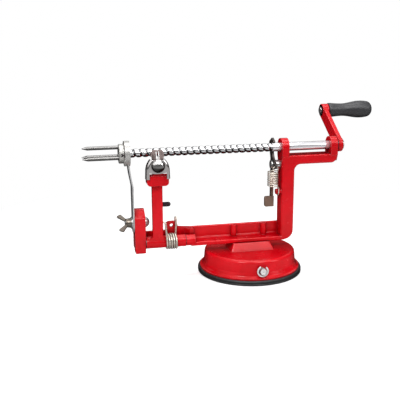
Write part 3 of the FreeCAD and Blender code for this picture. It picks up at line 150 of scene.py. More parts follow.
def walked(corners):
    """Points of an outline; a corner is (x, y), or (x, y, radius) for an arc to the next one."""
    points = []
    for i, corner in enumerate(corners):
        start, end = Vector(corner[:2]), Vector(corners[(i + 1) % len(corners)][:2])
        points.append(start)
        if len(corner) == 2:
            continue
        radius = corner[2]
        along = end - start
        rise = math.sqrt(max(radius ** 2 - (along.length / 2) ** 2, 0))
        hub = (start + end) / 2 + Vector((-along.y, along.x)).normalized() * rise
        first, last = (math.atan2(q.y - hub.y, q.x - hub.x) for q in (start, end))
        sweep = (last - first) % TURN
        count = max(2, int(sweep * radius / ARC_STEP))
        points += [hub + Vector(polar(1, first + sweep * k / count)) * radius for k in range(1, count)]
    return points


def disc(radius, x, y):
    return [(x - radius, y, radius), (x + radius, y, radius)]


def shifted(corners, x):
    return [(x + corner[0], *corner[1:]) for corner in corners]


def plate(name, corners, axis, low, high, bevel, holes=(), bend=None):
    """A slab with softened edges between two heights along x or y; its outline is (y, z) or (x, z)."""
    loops = [walked(loop) for loop in (corners, *holes)]
    flat = [q for loop in loops for q in loop]
    verts = [(h, q.x, q.y) if axis == "x" else (q.x, h, q.y) for h in (low, high) for q in flat]
    if bend:
        verts = [bend(*v) for v in verts]
    size = len(flat)
    faces = []
    for triangle in tessellate_polygon([[q.to_3d() for q in loop] for loop in loops]):
        faces += [tuple(triangle), tuple(k + size for k in triangle)]
    first = 0
    for loop in loops:
        for k in range(len(loop)):
            a, b = first + k, first + (k + 1) % len(loop)
            faces.append((a, b, b + size, a + size))
        first += len(loop)
    obj = mesh_object(name, verts, faces)
    reshape(obj.data, lambda shape: bmesh.ops.dissolve_limit(
        shape, angle_limit=0.002, verts=shape.verts, edges=shape.edges))
    soft = obj.modifiers.new("soft_edges", "BEVEL")
    soft.width = bevel * MM
    soft.segments = 3
    soft.limit_method = "ANGLE"
    soft.angle_limit = math.radians(SHARP_BEVEL)
    return soften(obj, SHARP_PLATE)


def joined(name, first, *others):
    """One object out of several, with the first one's bevel."""
    def add_others(shape):
        for piece in others:
            shape.from_mesh(piece.data)

    reshape(first.data, add_others)
    for piece in others:
        bpy.data.objects.remove(piece)
    first.name = name
    return soften(first, SHARP_PLATE)


def arc_points(start, corner, end, step):
    """Points along the arc that touches both lines at a corner."""
    half = (end - start).length / 2
    lean = math.acos(max(-1, min(1, half / (corner - start).length)))
    if lean < 1e-4:
        count = max(1, int(2 * half / step))
        return [start.lerp(end, i / count) for i in range(count)]
    radius = half / math.sin(lean)
    middle = (start + end) / 2
    hub = middle - (corner - middle).normalized() * (radius * math.cos(lean))
    count = max(3, int(2 * lean * radius / step))
    out = (start - hub).normalized()
    side = ((end - hub) - out * (end - hub).dot(out)).normalized()
    angles = [2 * lean * i / count for i in range(count)]
    return [hub + (out * math.cos(a) + side * math.sin(a)) * radius for a in angles]


def tangent_arcs(nodes, step):
    """Points along (point, direction) pairs that are joined by lines or by two tangent arcs."""
    points = []
    for (start, leaving), (end, arriving) in zip(nodes, nodes[1:]):
        run = end - start
        if max(leaving.cross(run).length, arriving.cross(run).length) < TINY * run.length:
            count = max(1, int(run.length / step))
            points += [start.lerp(end, i / count) for i in range(count)]
            continue
        both = leaving + arriving
        spread = 4 - both.dot(both)
        reach = (-run.dot(both) + math.sqrt(run.dot(both) ** 2 + spread * run.dot(run))) / spread
        corner, next_corner = start + leaving * reach, end - arriving * reach
        middle = (corner + next_corner) / 2
        points += arc_points(start, corner, middle, step) + arc_points(middle, next_corner, end, step)
    points.append(nodes[-1][0])
    return points


def tube(name, points, radius, sides):
    """A round wire along points, with softly rounded ends."""
    end_size, end_step = 0.72, 0.3 * radius
    side = (points[1] - points[0]).normalized().orthogonal().normalized()
    stations = []
    for i, point in enumerate(points):
        along = (points[min(i + 1, len(points) - 1)] - points[max(i - 1, 0)]).normalized()
        side = (side - along * side.dot(along)).normalized()
        stations.append((point, along, side, 1.0))
    first, last = stations[0], stations[-1]
    stations[0] = (first[0] + first[1] * end_step, *first[1:])
    stations[-1] = (last[0] - last[1] * end_step, *last[1:])
    rings = []
    for point, along, side, size in [(*first[:3], end_size), *stations, (*last[:3], end_size)]:
        up = along.cross(side)
        spokes = [polar(1, TURN * k / sides) for k in range(sides)]
        rings.append([point + (side * c + up * s) * radius * size for c, s in spokes])
    return skin(name, rings)


def coil(centre, axis, across, up, radius, pitch, first, last, count):
    """Points and directions along a helix of the given pitch, from one angle to another."""
    nodes = []
    drift = pitch / TURN
    for i in range(count + 1):
        angle = first + (last - first) * i / count
        c, s = polar(radius, angle)
        point = centre + axis * (drift * (angle - first)) + across * c + up * s
        nodes.append((point, (axis * drift - across * s + up * c).normalized()))
    return nodes


# Materials: every surface has colour variation, uneven gloss, fine relief and lighter edges, partly wear
# and partly a painted highlight; most also darken in hollows, partly dirt and partly painted shade, and
# carry painted shade where they turn away from the eye.

WHITE = (1, 1, 1, 1)


def tinted(colour, factor):
    return tuple(min(1, c * factor) for c in colour)


def rgba(colour):
    return (*colour, 1) if isinstance(colour, tuple) else colour


class Tree:
    """Nodes of one material or world; a value is a number, a vector, a colour or another node's output."""

    def __init__(self, tree):
        self.tree = tree

    def add(self, kind, **settings):
        node = self.tree.nodes.new(kind)
        for key, setting in settings.items():
            setattr(node, key, setting)
        return node

    def feed(self, socket, value):
        if isinstance(value, bpy.types.NodeSocket):
            self.tree.links.new(value, socket)
        else:
            socket.default_value = value

    def fed(self, kind, sockets, **settings):
        """A new node with its sockets, by name or number, joined or set."""
        node = self.add(kind, **settings)
        for key, value in sockets.items():
            self.feed(node.inputs[key], value)
        return node.outputs

    def calc(self, operation, a, b):
        return self.fed("ShaderNodeMath", {0: a, 1: b}, operation=operation)[0]

    def times(self, a, b):
        return self.calc("MULTIPLY", a, b)

    def vector(self, operation, *values):
        """A vector calculation, which gives a number for a dot product or a length."""
        outputs = self.fed("ShaderNodeVectorMath", dict(enumerate(values)), operation=operation)
        return outputs["Value" if operation in ("DOT_PRODUCT", "LENGTH") else "Vector"]

    def split(self, vector):
        return self.fed("ShaderNodeSeparateXYZ", {0: vector})

    def ramp(self, value, low, high, start=0.0, end=1.0):
        """From start to end, while the value goes from low to high."""
        sockets = {"Value": value, "From Min": low, "From Max": high, "To Min": start, "To Max": end}
        return self.fed("ShaderNodeMapRange", sockets, clamp=True)["Result"]

    def blend(self, amount, a, b):
        sockets = {0: amount, 6: rgba(a), 7: rgba(b)}
        return self.fed("ShaderNodeMix", sockets, data_type="RGBA")[2]

    def either(self, amount, a, b):
        return self.fed("ShaderNodeMixShader", {0: amount, 1: a, 2: b})[0]

    def rays(self, kind):
        return self.add("ShaderNodeLightPath").outputs[kind]


class Surface(Tree):
    """A material; its shader's inputs are set with put."""

    def __init__(self, name, colour, metallic=0.0):
        self.material = bpy.data.materials.new(name)
        self.material.use_nodes = True
        super().__init__(self.material.node_tree)
        self.shader = self.tree.nodes["Principled BSDF"]
        self.place = self.add("ShaderNodeTexCoord").outputs["Object"]
        self.put("Base Color", rgba(colour))
        self.put("Metallic", metallic)

    def put(self, socket, value):
        self.feed(self.shader.inputs[socket], value)

    def show(self, shader):
        self.feed(self.tree.nodes["Material Output"].inputs["Surface"], shader)

    def noise(self, scale, detail, rough, stretch=None):
        place = self.place
        if stretch:
            place = self.fed("ShaderNodeMapping", {"Vector": place, "Scale": stretch})["Vector"]
        sockets = {"Vector": place, "Scale": scale, "Detail": detail, "Roughness": rough}
        return self.fed("ShaderNodeTexNoise", sockets)["Fac"]

    def edges(self, radius):
        """A rounded normal and a mask that is 1 on convex and concave edges."""
        rounded = self.fed("ShaderNodeBevel", {"Radius": radius * MM}, samples=6)["Normal"]
        flat = self.add("ShaderNodeNewGeometry").outputs["Normal"]
        return rounded, self.ramp(self.vector("DOT_PRODUCT", rounded, flat), 0.995, 0.86)

    def hollows(self, distance):
        """1 in the open, 0 deep in corners."""
        return self.fed("ShaderNodeAmbientOcclusion", {"Distance": distance * MM}, samples=6)["AO"]

    def rim_shade(self, low, high, normal=None):
        """0 where the surface faces the eye, 1 where it turns away."""
        sockets = {"Blend": 0.5}
        if normal is not None:
            sockets["Normal"] = normal
        return self.ramp(self.fed("ShaderNodeLayerWeight", sockets)["Facing"], low, high)

    def relief(self, height, strength, depth, normal):
        sockets = {"Strength": strength, "Distance": depth * MM, "Height": height, "Normal": normal}
        return self.fed("ShaderNodeBump", sockets)["Normal"]

    def glow(self, strength):
        return self.fed("ShaderNodeEmission", {"Color": WHITE, "Strength": strength})[0]


def enamel(name, colour, deep, pale):
    """Glossy paint with an uneven coat; its edges are pale, partly chipped and partly a painted highlight;
    its corners are darkened with painted shade, and painted shade darkens it where it turns away from the
    eye.
    """
    look = Surface(name, colour)
    rounded, edge = look.edges(0.6)
    exposed = look.ramp(look.hollows(9), 0.45, 0.95)
    tone = look.blend(look.ramp(look.noise(38, 3, 0.5), 0.35, 0.68), deep, colour)
    speck = look.ramp(look.noise(900, 2, 0.6), 0.66, 0.74)
    tone = look.blend(look.times(speck, 0.16), tone, deep)
    # Pale edges: the patchy part is chipped paint; the even part along every edge is a painted highlight.
    chipped = look.times(edge, look.ramp(look.noise(160, 5, 0.7), 0.36, 0.56))
    tone = look.blend(look.calc("MAXIMUM", look.times(chipped, 0.7), look.times(edge, 0.3)), tone, pale)
    # Painted shade: darker in corners and hollows.
    tone = look.blend(look.ramp(look.hollows(5.5), 0.3, 0.93, 0.88, 0.0), tone, tinted(deep, 0.3))
    # Painted shade: darker where the paint turns away from the eye.
    tone = look.blend(look.times(look.rim_shade(0.55, 0.92, rounded), 0.8), tone, tinted(deep, 0.35))
    look.put("Base Color", tone)
    look.put("Roughness", look.ramp(look.noise(60, 5, 0.6), 0.3, 0.75, 0.17, 0.34))
    look.put("Specular IOR Level", look.ramp(exposed, 0.0, 1.0, 0.04, 0.2))
    look.put("Coat Weight", look.ramp(exposed, 0.0, 1.0, 0.02, 0.17))
    look.put("Coat Roughness", look.ramp(look.noise(24, 3, 0.5), 0.3, 0.7, 0.04, 0.12))
    peel = look.relief(look.noise(420, 2, 0.5), 0.22, 0.06, rounded)
    wave = look.relief(look.noise(75, 2, 0.5), 0.2, 0.22, peel)
    look.put("Normal", wave)
    look.put("Coat Normal", wave)
    return look.material


def dark_roots_and_painted_reflection(look, tone):
    """Darker at the thread's root, and a painted dark reflection further up its flanks round the middle of
    its height.
    """
    across = look.vector("MULTIPLY", look.vector("SUBTRACT", look.place, (0, 0, SCREW_Z * MM)), (0, 1, 1))
    reach = look.vector("LENGTH", across)
    height = look.split(look.place)["Z"]
    root = look.times(look.ramp(reach, 3.1 * MM, 3.6 * MM, 1.0, 0.0), 0.9)
    above = look.ramp(height, (SCREW_Z - 2.3) * MM, (SCREW_Z - 1.7) * MM)
    below = look.ramp(height, (SCREW_Z + 1.0) * MM, (SCREW_Z + 0.3) * MM)
    # Painted reflection: a dark band across the flanks round the middle of the thread's height.
    painted_flank_reflection = look.times(look.times(above, below), look.ramp(reach, 3.4 * MM, 4.0 * MM, 1.0, 0.0))
    return look.blend(look.calc("MAXIMUM", root, painted_flank_reflection), tone, (0.006, 0.006, 0.007))


def metal(name, colour, dark, rough, brushed=None, edge_wear_and_highlight=0.3, grime_and_shade=0.5, relief=0.1, rim_shade=0.7, metallic=1.0,
          underside_shade=None, upper=None, painted_marks=None):
    """Metal with lighter edges, partly wear and partly a painted highlight, darker hollows, partly dirt and
    partly painted shade, and painted shade where it turns away from the eye. under is (start, end, amount)
    of painted shade on the side that faces down, by the normal's height; upper is (height, colour, dark) of
    what lies higher; marks adds painted reflection and darkening to the colour."""
    look = Surface(name, colour, metallic)
    rounded, edge = look.edges(0.25)
    cloud = look.ramp(look.noise(90, 4, 0.6), 0.3, 0.75)
    tone = look.blend(look.times(cloud, 0.5), colour, dark)
    # Darker in hollows, partly dirt and partly painted shade.
    tone = look.blend(look.ramp(look.hollows(1.6), 0.25, 0.85, grime_and_shade, 0.0), tone, tinted(dark, 0.25))
    # Lighter along edges, partly wear and partly a painted highlight.
    tone = look.blend(look.times(edge, edge_wear_and_highlight), tone, tinted(colour, 1.15))
    # Painted shade: darker where the surface turns away from the eye.
    tone = look.blend(look.times(look.rim_shade(0.55, 0.95), rim_shade), tone, tinted(dark, 0.12))
    if upper:
        height, *colours = upper
        amount = look.ramp(look.split(look.place)["Z"], height * MM, (height + 4) * MM)
        tone = look.blend(amount, tone, look.blend(cloud, *colours))
    # Painted reflection and darkening added to the colour, such as the thread's dark band.
    if painted_marks:
        tone = painted_marks(look, tone)
    # Painted shade: darker on the side that faces down.
    if underside_shade:
        start, end, amount = underside_shade
        facing = look.split(look.add("ShaderNodeNewGeometry").outputs["Normal"])["Z"]
        tone = look.blend(look.ramp(facing, start, end, 0.0, amount), tone, tinted(dark, 0.06))
    look.put("Base Color", tone)
    look.put("Specular Tint", (0.35, 0.35, 0.36, 1))
    gloss = look.noise(220, 5, 0.65)
    grain = look.noise(900, 3, 0.6, stretch=brushed) if brushed else look.noise(500, 3, 0.5)
    if brushed:
        gloss = look.calc("ADD", look.times(grain, 0.6), look.times(gloss, 0.4))
    look.put("Roughness", look.ramp(gloss, 0.3, 0.7, *rough))
    look.put("Normal", look.relief(grain, relief, 0.03, rounded))
    return look.material


def rubber(name, colour, pale, rough, grain=1100, depth=0.05):
    """Matt rubber or plastic with a fine grain and dust; its edges are lighter, partly rubbed and partly a
    painted highlight, and painted shade darkens it where it turns away from the eye.
    """
    look = Surface(name, colour)
    rounded, edge = look.edges(0.4)
    tone = look.blend(look.ramp(look.noise(60, 5, 0.6), 0.35, 0.75, 0.0, 0.5), colour, pale)
    dust = look.ramp(look.noise(700, 3, 0.7), 0.62, 0.8, 0.0, 0.25)
    tone = look.blend(dust, tone, tinted(pale, 2.2))
    # Lighter along edges, partly rubbed and partly a painted highlight.
    tone = look.blend(look.times(edge, 0.35), tone, tinted(pale, 1.6))
    # Painted shade: darker where the surface turns away from the eye.
    tone = look.blend(look.times(look.rim_shade(0.5, 0.95), 0.75), tone, tinted(colour, 0.3))
    look.put("Base Color", tone)
    look.put("Roughness", look.ramp(look.noise(150, 5, 0.65), 0.3, 0.7, *rough))
    look.put("Specular IOR Level", 0.45)
    look.put("Normal", look.relief(look.noise(grain, 3, 0.6), 0.35, depth, rounded))
    return look.material


# The last, pink colour serves chipped edges and the painted highlight along every edge.
RED = enamel("red_enamel", (0.84, 0.001, 0.010), (0.66, 0.001, 0.006), (1.0, 0.2, 0.22))
# The hood gets strongly lighter edges, partly a painted highlight, and strong painted shade in hollows, on
# its downward side and where it turns away from the eye.
HOOD = metal("pressed_hood", (0.80, 0.77, 0.76), (0.5, 0.47, 0.46), (0.1, 0.2), edge_wear_and_highlight=0.8, grime_and_shade=0.95,
             relief=0.3, rim_shade=0.9, underside_shade=(-0.3, -0.6, 0.9))
DOME = metal("domed_nut", (0.86, 0.85, 0.84), (0.5, 0.47, 0.45), (0.06, 0.14), rim_shade=0.9, relief=0.5,
             underside_shade=(0.35, -0.22, 0.99))
PRONG = metal("ground_prong", (0.21, 0.205, 0.20), (0.12, 0.115, 0.11), (0.14, 0.26), rim_shade=0.9,
              metallic=0.9, underside_shade=(-0.1, -0.6, 0.8))
THREAD = metal("rolled_thread", (0.84, 0.84, 0.85), (0.5, 0.5, 0.52), (0.05, 0.13), grime_and_shade=0.8, rim_shade=0.9,
               underside_shade=(-0.12, -0.5, 0.95), painted_marks=dark_roots_and_painted_reflection)
SHANK = metal("polished_shank", (0.93, 0.93, 0.95), (0.7, 0.7, 0.74), (0.06, 0.14), rim_shade=0.6,
              metallic=0.6, underside_shade=(-0.5, -0.8, 0.9))
PALE = metal("bright_zinc", (0.95, 0.93, 0.92), (0.7, 0.68, 0.67), (0.3, 0.45), rim_shade=0.35, grime_and_shade=0.95,
             metallic=0.25)
HUB = metal("nickel_hub", (0.66, 0.65, 0.62), (0.42, 0.41, 0.38), (0.34, 0.5), grime_and_shade=0.8, relief=0.3,
            metallic=0.35, underside_shade=(-0.35, -0.75, 0.5))
ZINC = metal("zinc_steel", (0.66, 0.66, 0.65), (0.42, 0.42, 0.42), (0.2, 0.36), relief=0.18, metallic=0.8)
SPRING = metal("spring_steel", (0.84, 0.77, 0.67), (0.5, 0.44, 0.36), (0.18, 0.34), grime_and_shade=0.65,
               metallic=0.55)
BLADE = metal("stainless_blade", (0.68, 0.68, 0.68), (0.46, 0.46, 0.46), (0.28, 0.42),
              brushed=(1, 1, 0.06), relief=0.2, metallic=0.4,
              upper=(110, (0.6, 0.59, 0.57), (0.42, 0.41, 0.39)))
PRESSED = metal("pressed_blade", (0.24, 0.185, 0.175), (0.12, 0.09, 0.085), (0.14, 0.28), relief=0.2,
                metallic=0.75)
# Above 98 mm this steel turns near-black: painted shade on the latch's upper part.
DARK = metal("dark_steel", (0.29, 0.195, 0.145), (0.13, 0.09, 0.07), (0.26, 0.44), relief=0.25, grime_and_shade=0.6,
             metallic=0.6, upper=(98, (0.11, 0.092, 0.085), (0.055, 0.045, 0.042)))
BLACKENED = metal("blackened_steel", (0.065, 0.04, 0.05), (0.03, 0.02, 0.025), (0.3, 0.5), relief=0.25,
                  grime_and_shade=0.6)
TAN = metal("tan_zinc", (0.215, 0.185, 0.155), (0.12, 0.10, 0.085), (0.26, 0.42), relief=0.22,
            metallic=0.8)
RUBBER = rubber("black_rubber", (0.010, 0.010, 0.011), (0.028, 0.028, 0.030), (0.36, 0.55))
PLASTIC = rubber("black_plastic", (0.028, 0.028, 0.031), (0.052, 0.052, 0.058), (0.34, 0.5), 1500, 0.08)

LOOKS = {
    "frame_casting": RED, "base_cover": RED, "peeler_arm": RED, "crank_arm": RED, "suction_lever": RED,
    "crank_handle": PLASTIC, "suction_pad": RUBBER,
    "drive_screw": THREAD, "fork_prongs": PRONG, "blade_hood": HOOD, "blade_screw": DOME, "fork_hub": HUB,
    "cam_shaft": ZINC, "e_clip": PALE, "pad_post": ZINC, "frame_screws": ZINC, "pivot_rod": ZINC,
    "carriage_bolt": ZINC, "bolt_washer": ZINC, "latch_pivot_bolt": ZINC, "latch_spacer": ZINC,
    # The thrust washer is given near-black steel as painted shade, so that it shows as a dark line.
    "thrust_washer": BLACKENED, "crank_screw": ZINC, "handle_rivet": ZINC, "fork_set_screw": DARK,
    "arm_spring": SPRING, "latch_spring": SPRING,
    "corer_blade": BLADE, "peeler_blade": PRESSED,
    "arm_tab": BLACKENED, "tab_rivet": BLACKENED, "thread_latch": DARK,
    "wing_nut": TAN,
}


def dress(obj, *materials):
    obj.data.materials.clear()
    for material in materials:
        obj.data.materials.append(material)


for name, node in frame["nodes"].items():
    dress(node, LOOKS[name])

# Drive screw: a coarse right-hand thread with rounded ridges, then a plain polished shank.

PITCH = 6.35
RIDGE_RADIUS = 4.1
GROOVE_DEPTH, GROOVE_WIDTH = 0.92, 0.17
CROWN = 0.10
THREAD_START, RUN_IN, START_RADIUS = -124.2, 2.4, 3.3
THREAD_END, RUN_OUT, END_RADIUS = 21.9, 2.0, 3.6
FIRST_STATION, STATION_STEP, STATIONS = -124.0, 0.32, 456
AROUND = 64
TIP = [(-128.6, 2.6), (-128.4, 3.0), (-124.3, 3.0), (-124.2, 3.35)]
PLAIN_SHANK = [(21.9, 3.6), (22.0, 4.0), (22.2, 4.25), (93.4, 4.25), (93.8, 4.05), (94.0, 3.65)]


def between(start, end, share):
    return start + (end - start) * max(0, min(1, share))


def thread_radius(x, angle):
    """Broad rounded ridges with a narrower groove between them, growing in and out at the ends."""
    phase = (x / PITCH - angle / TURN) % 1.0
    groove = math.exp(-(((phase - 0.5) / GROOVE_WIDTH) ** 2))
    crown = CROWN * (1 - math.cos(TURN * phase)) / 2
    radius = RIDGE_RADIUS - GROOVE_DEPTH * groove - crown * (1 - groove)
    radius = between(START_RADIUS, radius, (x - THREAD_START) / RUN_IN)
    return between(END_RADIUS, radius, (THREAD_END - x) / RUN_OUT)


def screw_ring(x, radius=None):
    """Points round the screw; without a radius they follow the thread."""
    ring = []
    for k in range(AROUND):
        angle = TURN * k / AROUND
        y, z = polar(radius or thread_radius(x, angle), angle)
        ring.append((x, y, SCREW_Z + z))
    return ring


rings = [screw_ring(x, radius) for x, radius in TIP]
rings += [screw_ring(FIRST_STATION + STATION_STEP * i) for i in range(STATIONS)]
rings += [screw_ring(x, radius) for x, radius in PLAIN_SHANK]
screw = skin("threaded_screw", rings)
dress(screw, THREAD, SHANK)
for polygon in screw.data.polygons:
    polygon.material_index = int(polygon.center.x > THREAD_END * MM)
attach(screw, "drive")
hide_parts("drive_screw")

# Torsion spring of the peeling arm.

ARM_WIRE = 1.8


def arm_spring_path(wire):
    """From the leg in the arm, through the winding, to the hook over the casting's lug."""
    radius, pitch, left = 7.1, 2.3, -85.4
    leg_y, leg_z = -5.6, 56.0
    hook_y, hook_z, hook_tail = 6.4, 54.5, 3
    leg = Vector((0, leg_y, leg_z)) - ARM_PIVOT
    first, last = math.atan2(leg.z, leg.y) + math.acos(radius / leg.length), 5 * TURN
    winding = coil(ARM_PIVOT + X * left, X, Y, Z, radius, pitch, first, last, count=18)
    start, down = winding[0]
    corner = start + down * ((leg_z - start.z) / down.z)
    end, rising = winding[-1]
    top = end + rising * ((hook_z - end.z) / rising.z)
    half = hook_y - end.y
    over = (Y - rising * Y.dot(rising)).normalized()
    far = top + over * 2 * half
    return [
        (corner - X * 3 * wire, X),
        (corner - X * wire, X),
        (corner + down * wire, down),
        *winding,
        (top, rising),
        (top + (rising + over) * half, over),
        (far, -rising),
        (far - rising * hook_tail, -rising),
    ]


arm_spring_points = tangent_arcs(arm_spring_path(ARM_WIRE), step=0.45)
arm_spring = tube("arm_spring_wire", arm_spring_points, ARM_WIRE / 2, sides=18)
dress(arm_spring, SPRING)
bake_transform(arm_spring)
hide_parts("arm_spring")

# Tension spring of the thread latch.

LATCH_WIRE = 1.1


def latch_spring_path(wire):
    """From the hook in the latch's hole, through the winding, to the loop round the casting's peg."""
    radius, length, turns = 4.9, 14.4, 7
    winding_top = Vector((21.4, -6.7, 101.0))
    hole = Vector((24.0, -7.3, 105.5))
    peg, peg_radius, gap = Vector((27.4, -4.0, 80.0)), 2.7, 0.3
    first, last = math.radians(16.6), math.radians(300) + turns * TURN
    pitch = length / (last - first) * TURN
    reach = peg_radius + wire / 2 + gap
    return [
        (hole - X * 2.6 - Z * 3, Z),
        (hole - X * 2.6 - Z * 1.6, Z),
        (hole - X, X),
        (hole + X * 0.4, X),
        (hole + X * 2.4 - Z * 2, -Z),
        *coil(winding_top, -Z, X, Y, radius, pitch, first, last, count=32),
        (peg - Y * reach + Z * 2.6, -Z),
        (peg - Y * reach, -Z),
        (peg - Z * reach, Y),
        (peg + Y * reach, Z),
        (peg + Y * reach + Z * wire, Z),
    ]


latch_spring_points = tangent_arcs(latch_spring_path(LATCH_WIRE), step=0.35)
latch_spring = tube("latch_spring_wire", latch_spring_points, LATCH_WIRE / 2, sides=14)
dress(latch_spring, SPRING)
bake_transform(latch_spring)
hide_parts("latch_spring")

# Crank: a flat bar between a boss on the shank and the handle's seat.

CRANK_INNER, CRANK_OUTER, SEAT_OUTER = 89.9, 94.4, 97.1
BOSS_INNER, BOSS_OUTER = 89.4, 94.5
BAR_HALF_WIDTH, BOSS_RADIUS, SEAT_RADIUS = 6.6, 7.1, 6.8
CRANK_BEVEL = 0.7


def crank_bar():
    """A bar with round ends, one at the screw's line and one at the handle's."""
    axle, seat = Vector((0, SCREW_Z)), Vector((GRIP_Y, GRIP_Z))
    along = (seat - axle).normalized()
    side = Vector((along.y, -along.x)) * BAR_HALF_WIDTH
    seat_end, axle_end = (*(seat + side), BAR_HALF_WIDTH), (*(axle - side), BAR_HALF_WIDTH)
    outline = [axle + side, seat_end, seat - side, axle_end]
    return plate("crank_bar", outline, "x", CRANK_INNER, CRANK_OUTER, CRANK_BEVEL)


boss_disc, seat_disc = disc(BOSS_RADIUS, 0, SCREW_Z), disc(SEAT_RADIUS, GRIP_Y, GRIP_Z)
boss = plate("crank_boss", boss_disc, "x", BOSS_INNER, BOSS_OUTER, CRANK_BEVEL)
seat = plate("crank_seat", seat_disc, "x", CRANK_INNER, SEAT_OUTER, CRANK_BEVEL)
crank = joined("crank_body", crank_bar(), boss, seat)
dress(crank, RED)
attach(crank, "drive")
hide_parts("crank_arm")

crank_screw_profile = [
    (0, 90.0), (2.0, 90.0), (2.0, 94.55), (4.9, 94.55), (5.2, 94.9), (5.2, 95.4), (4.9, 95.9), (3.6, 96.3),
    (2.0, 96.4), (2.0, 95.3), (0, 95.3),
]
crank_screw = turned("crank_cap_screw", crank_screw_profile, (0, 0, SCREW_Z), "x", sides=48)
dress(crank_screw, ZINC)
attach(crank_screw, "drive")
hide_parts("crank_screw")

# Handle: a plastic grip with a flared foot, a waist and a bulb.

GRIP_FOOT = 97.2
WAIST_HEIGHT, WAIST_RADIUS = 15, 6.55
FLARE, FLARE_HEIGHT = 0.88, 12
BULB, BULB_HEIGHT = 2.4, 20.5
DROOP, DROOP_START = 0.012, 36
SIDE_START, SIDE_HEIGHT, SIDE_STEPS = 3, 38, 40


def grip_radius(height):
    """A flare below the waist, and a bulb above it that droops towards its end."""
    if height < WAIST_HEIGHT:
        return WAIST_RADIUS + FLARE * ((WAIST_HEIGHT - height) / FLARE_HEIGHT) ** 1.7
    swell = math.sin(min(1, (height - WAIST_HEIGHT) / BULB_HEIGHT) * math.pi / 2) ** 2
    return WAIST_RADIUS + BULB * swell - DROOP * max(0, height - DROOP_START) ** 2


bore = [(0, 44.1), (3.7, 44.1), (3.7, 41.9), (2.65, 41.9)]
foot_edge = [(2.65, 0.0), (6.4, 0.0), (7.0, 0.15), (7.35, 0.6), (7.45, 1.4), (7.43, 3.0)]
side_heights = [SIDE_START + SIDE_HEIGHT * (i + 1) / SIDE_STEPS for i in range(SIDE_STEPS)]
grip_side = [(grip_radius(height), height) for height in side_heights]
grip_end = [(8.3, 43.2), (7.8, 44.9), (6.8, 46.4), (5.3, 47.6), (3.3, 48.3), (1.5, 48.57), (0, 48.6)]
grip_profile = bore + foot_edge + grip_side + grip_end
grip = turned("crank_grip", grip_profile, (GRIP_FOOT, GRIP_Y, GRIP_Z), "x", sides=72)
dress(grip, PLASTIC)
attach(grip, "crank_handle")
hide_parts("crank_handle")

# Wing nut with thin turned-up wings.

NUT_FACE = -118.9
NUT_TURN = math.radians(-70)
WING_HALF_THICKNESS = 0.9
WING = [
    (-0.8, 3.1), (-0.8, 3.6), (-3.2, 3.9), (-8.6, 13.4), (-9.4, 13.8), (-12.6, 11.4), (-12.7, 10.6),
    (-5.9, 3.1),
]
NUT_HUB = [(3.0, 0.0), (5.0, 0.0), (5.0, -0.6), (4.7, -1.2), (4.2, -4.9), (3.8, -5.4), (3.0, -5.4)]


def wing(side):
    outline = shifted([(x, side * z) for x, z in WING], NUT_FACE)
    return plate("wing", outline, "y", -WING_HALF_THICKNESS, WING_HALF_THICKNESS, bevel=0.22)


nut_hub = turned("nut_hub", NUT_HUB, (NUT_FACE, 0, 0), "x", sides=48)
nut = joined("wing_nut_body", wing(1), wing(-1), nut_hub)
nut.data.transform(Matrix.Translation((0, 0, BOLT_Z * MM)) @ Matrix.Rotation(NUT_TURN, 4, "X"))
dress(nut, TAN)
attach(nut, "wing_nut")
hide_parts("wing_nut")

# Bolt under the wing nut, with a threaded end and a round head.

BOLT_RADIUS, BOLT_ROOT = 2.82, 2.55
BOLT_PITCH, BOLT_RIDGES, FIRST_RIDGE = 0.8, 9, -124.6

bolt_profile = [(0, -125.0), (2.3, -125.0)]
for i in range(BOLT_RIDGES):
    x = FIRST_RIDGE + BOLT_PITCH * i
    bolt_profile += [(BOLT_RADIUS, x), (BOLT_ROOT, x + BOLT_PITCH / 2)]
bolt_profile += [(BOLT_RADIUS, -117.6), (BOLT_RADIUS, -105.85), (4.9, -105.8)]
bolt_profile += quarter_round(5.1, 4.5, -105.6, 14)
bolt = turned("round_head_bolt", bolt_profile, (0, 0, BOLT_Z), "x", sides=48)
dress(bolt, ZINC)
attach(bolt, "frame")
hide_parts("carriage_bolt")

# Peeling blade that leans back above its foot, with a raised lip on either side of its slit.

BLADE_BEND = 118.6
BLADE = [
    (-5.7, 107), (5.7, 107), (5.7, BLADE_BEND), (5.7, 121.9), (6.7, 122.6), (5.6, 127.2, 1.6), (4.0, 128.4),
    (-4.0, 128.4, 1.6), (-5.6, 127.2), (-6.7, 122.6), (-5.7, 121.9), (-5.7, BLADE_BEND),
]
SLIT = [(-0.45, 119.4), (0.45, 119.4), (0.45, 126.2), (-0.45, 126.2)]
BLADE_FRONT, BLADE_BACK = -15.45, -14.55
LEAN = 3 / 9.2
LIP_X, LIP_Y, LIP_RADIUS = 1.15, -15.5, 0.55
LIP_HEIGHTS = (118.8, 120, 122, 124, 126, 126.8)


def leaned(x, y, z):
    return x, y + max(0, z - BLADE_BEND) * LEAN, z


def lip(side, x):
    points = [Vector(leaned(HEAD_X + x, LIP_Y, z)) for z in LIP_HEIGHTS]
    return tube(f"blade_lip_{side}", points, LIP_RADIUS, sides=12)


outline, slit = shifted(BLADE, HEAD_X), shifted(SLIT, HEAD_X)
blade = plate("slit_blade", outline, "y", BLADE_FRONT, BLADE_BACK, bevel=0.15, holes=[slit], bend=leaned)
lips = [lip("left", -LIP_X), lip("right", LIP_X)]
for piece in (blade, *lips):
    dress(piece, PALE if piece in lips else PRESSED)
    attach(piece, "peeler_arm")
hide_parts("peeler_blade")

# Domed nut in front of the blade.

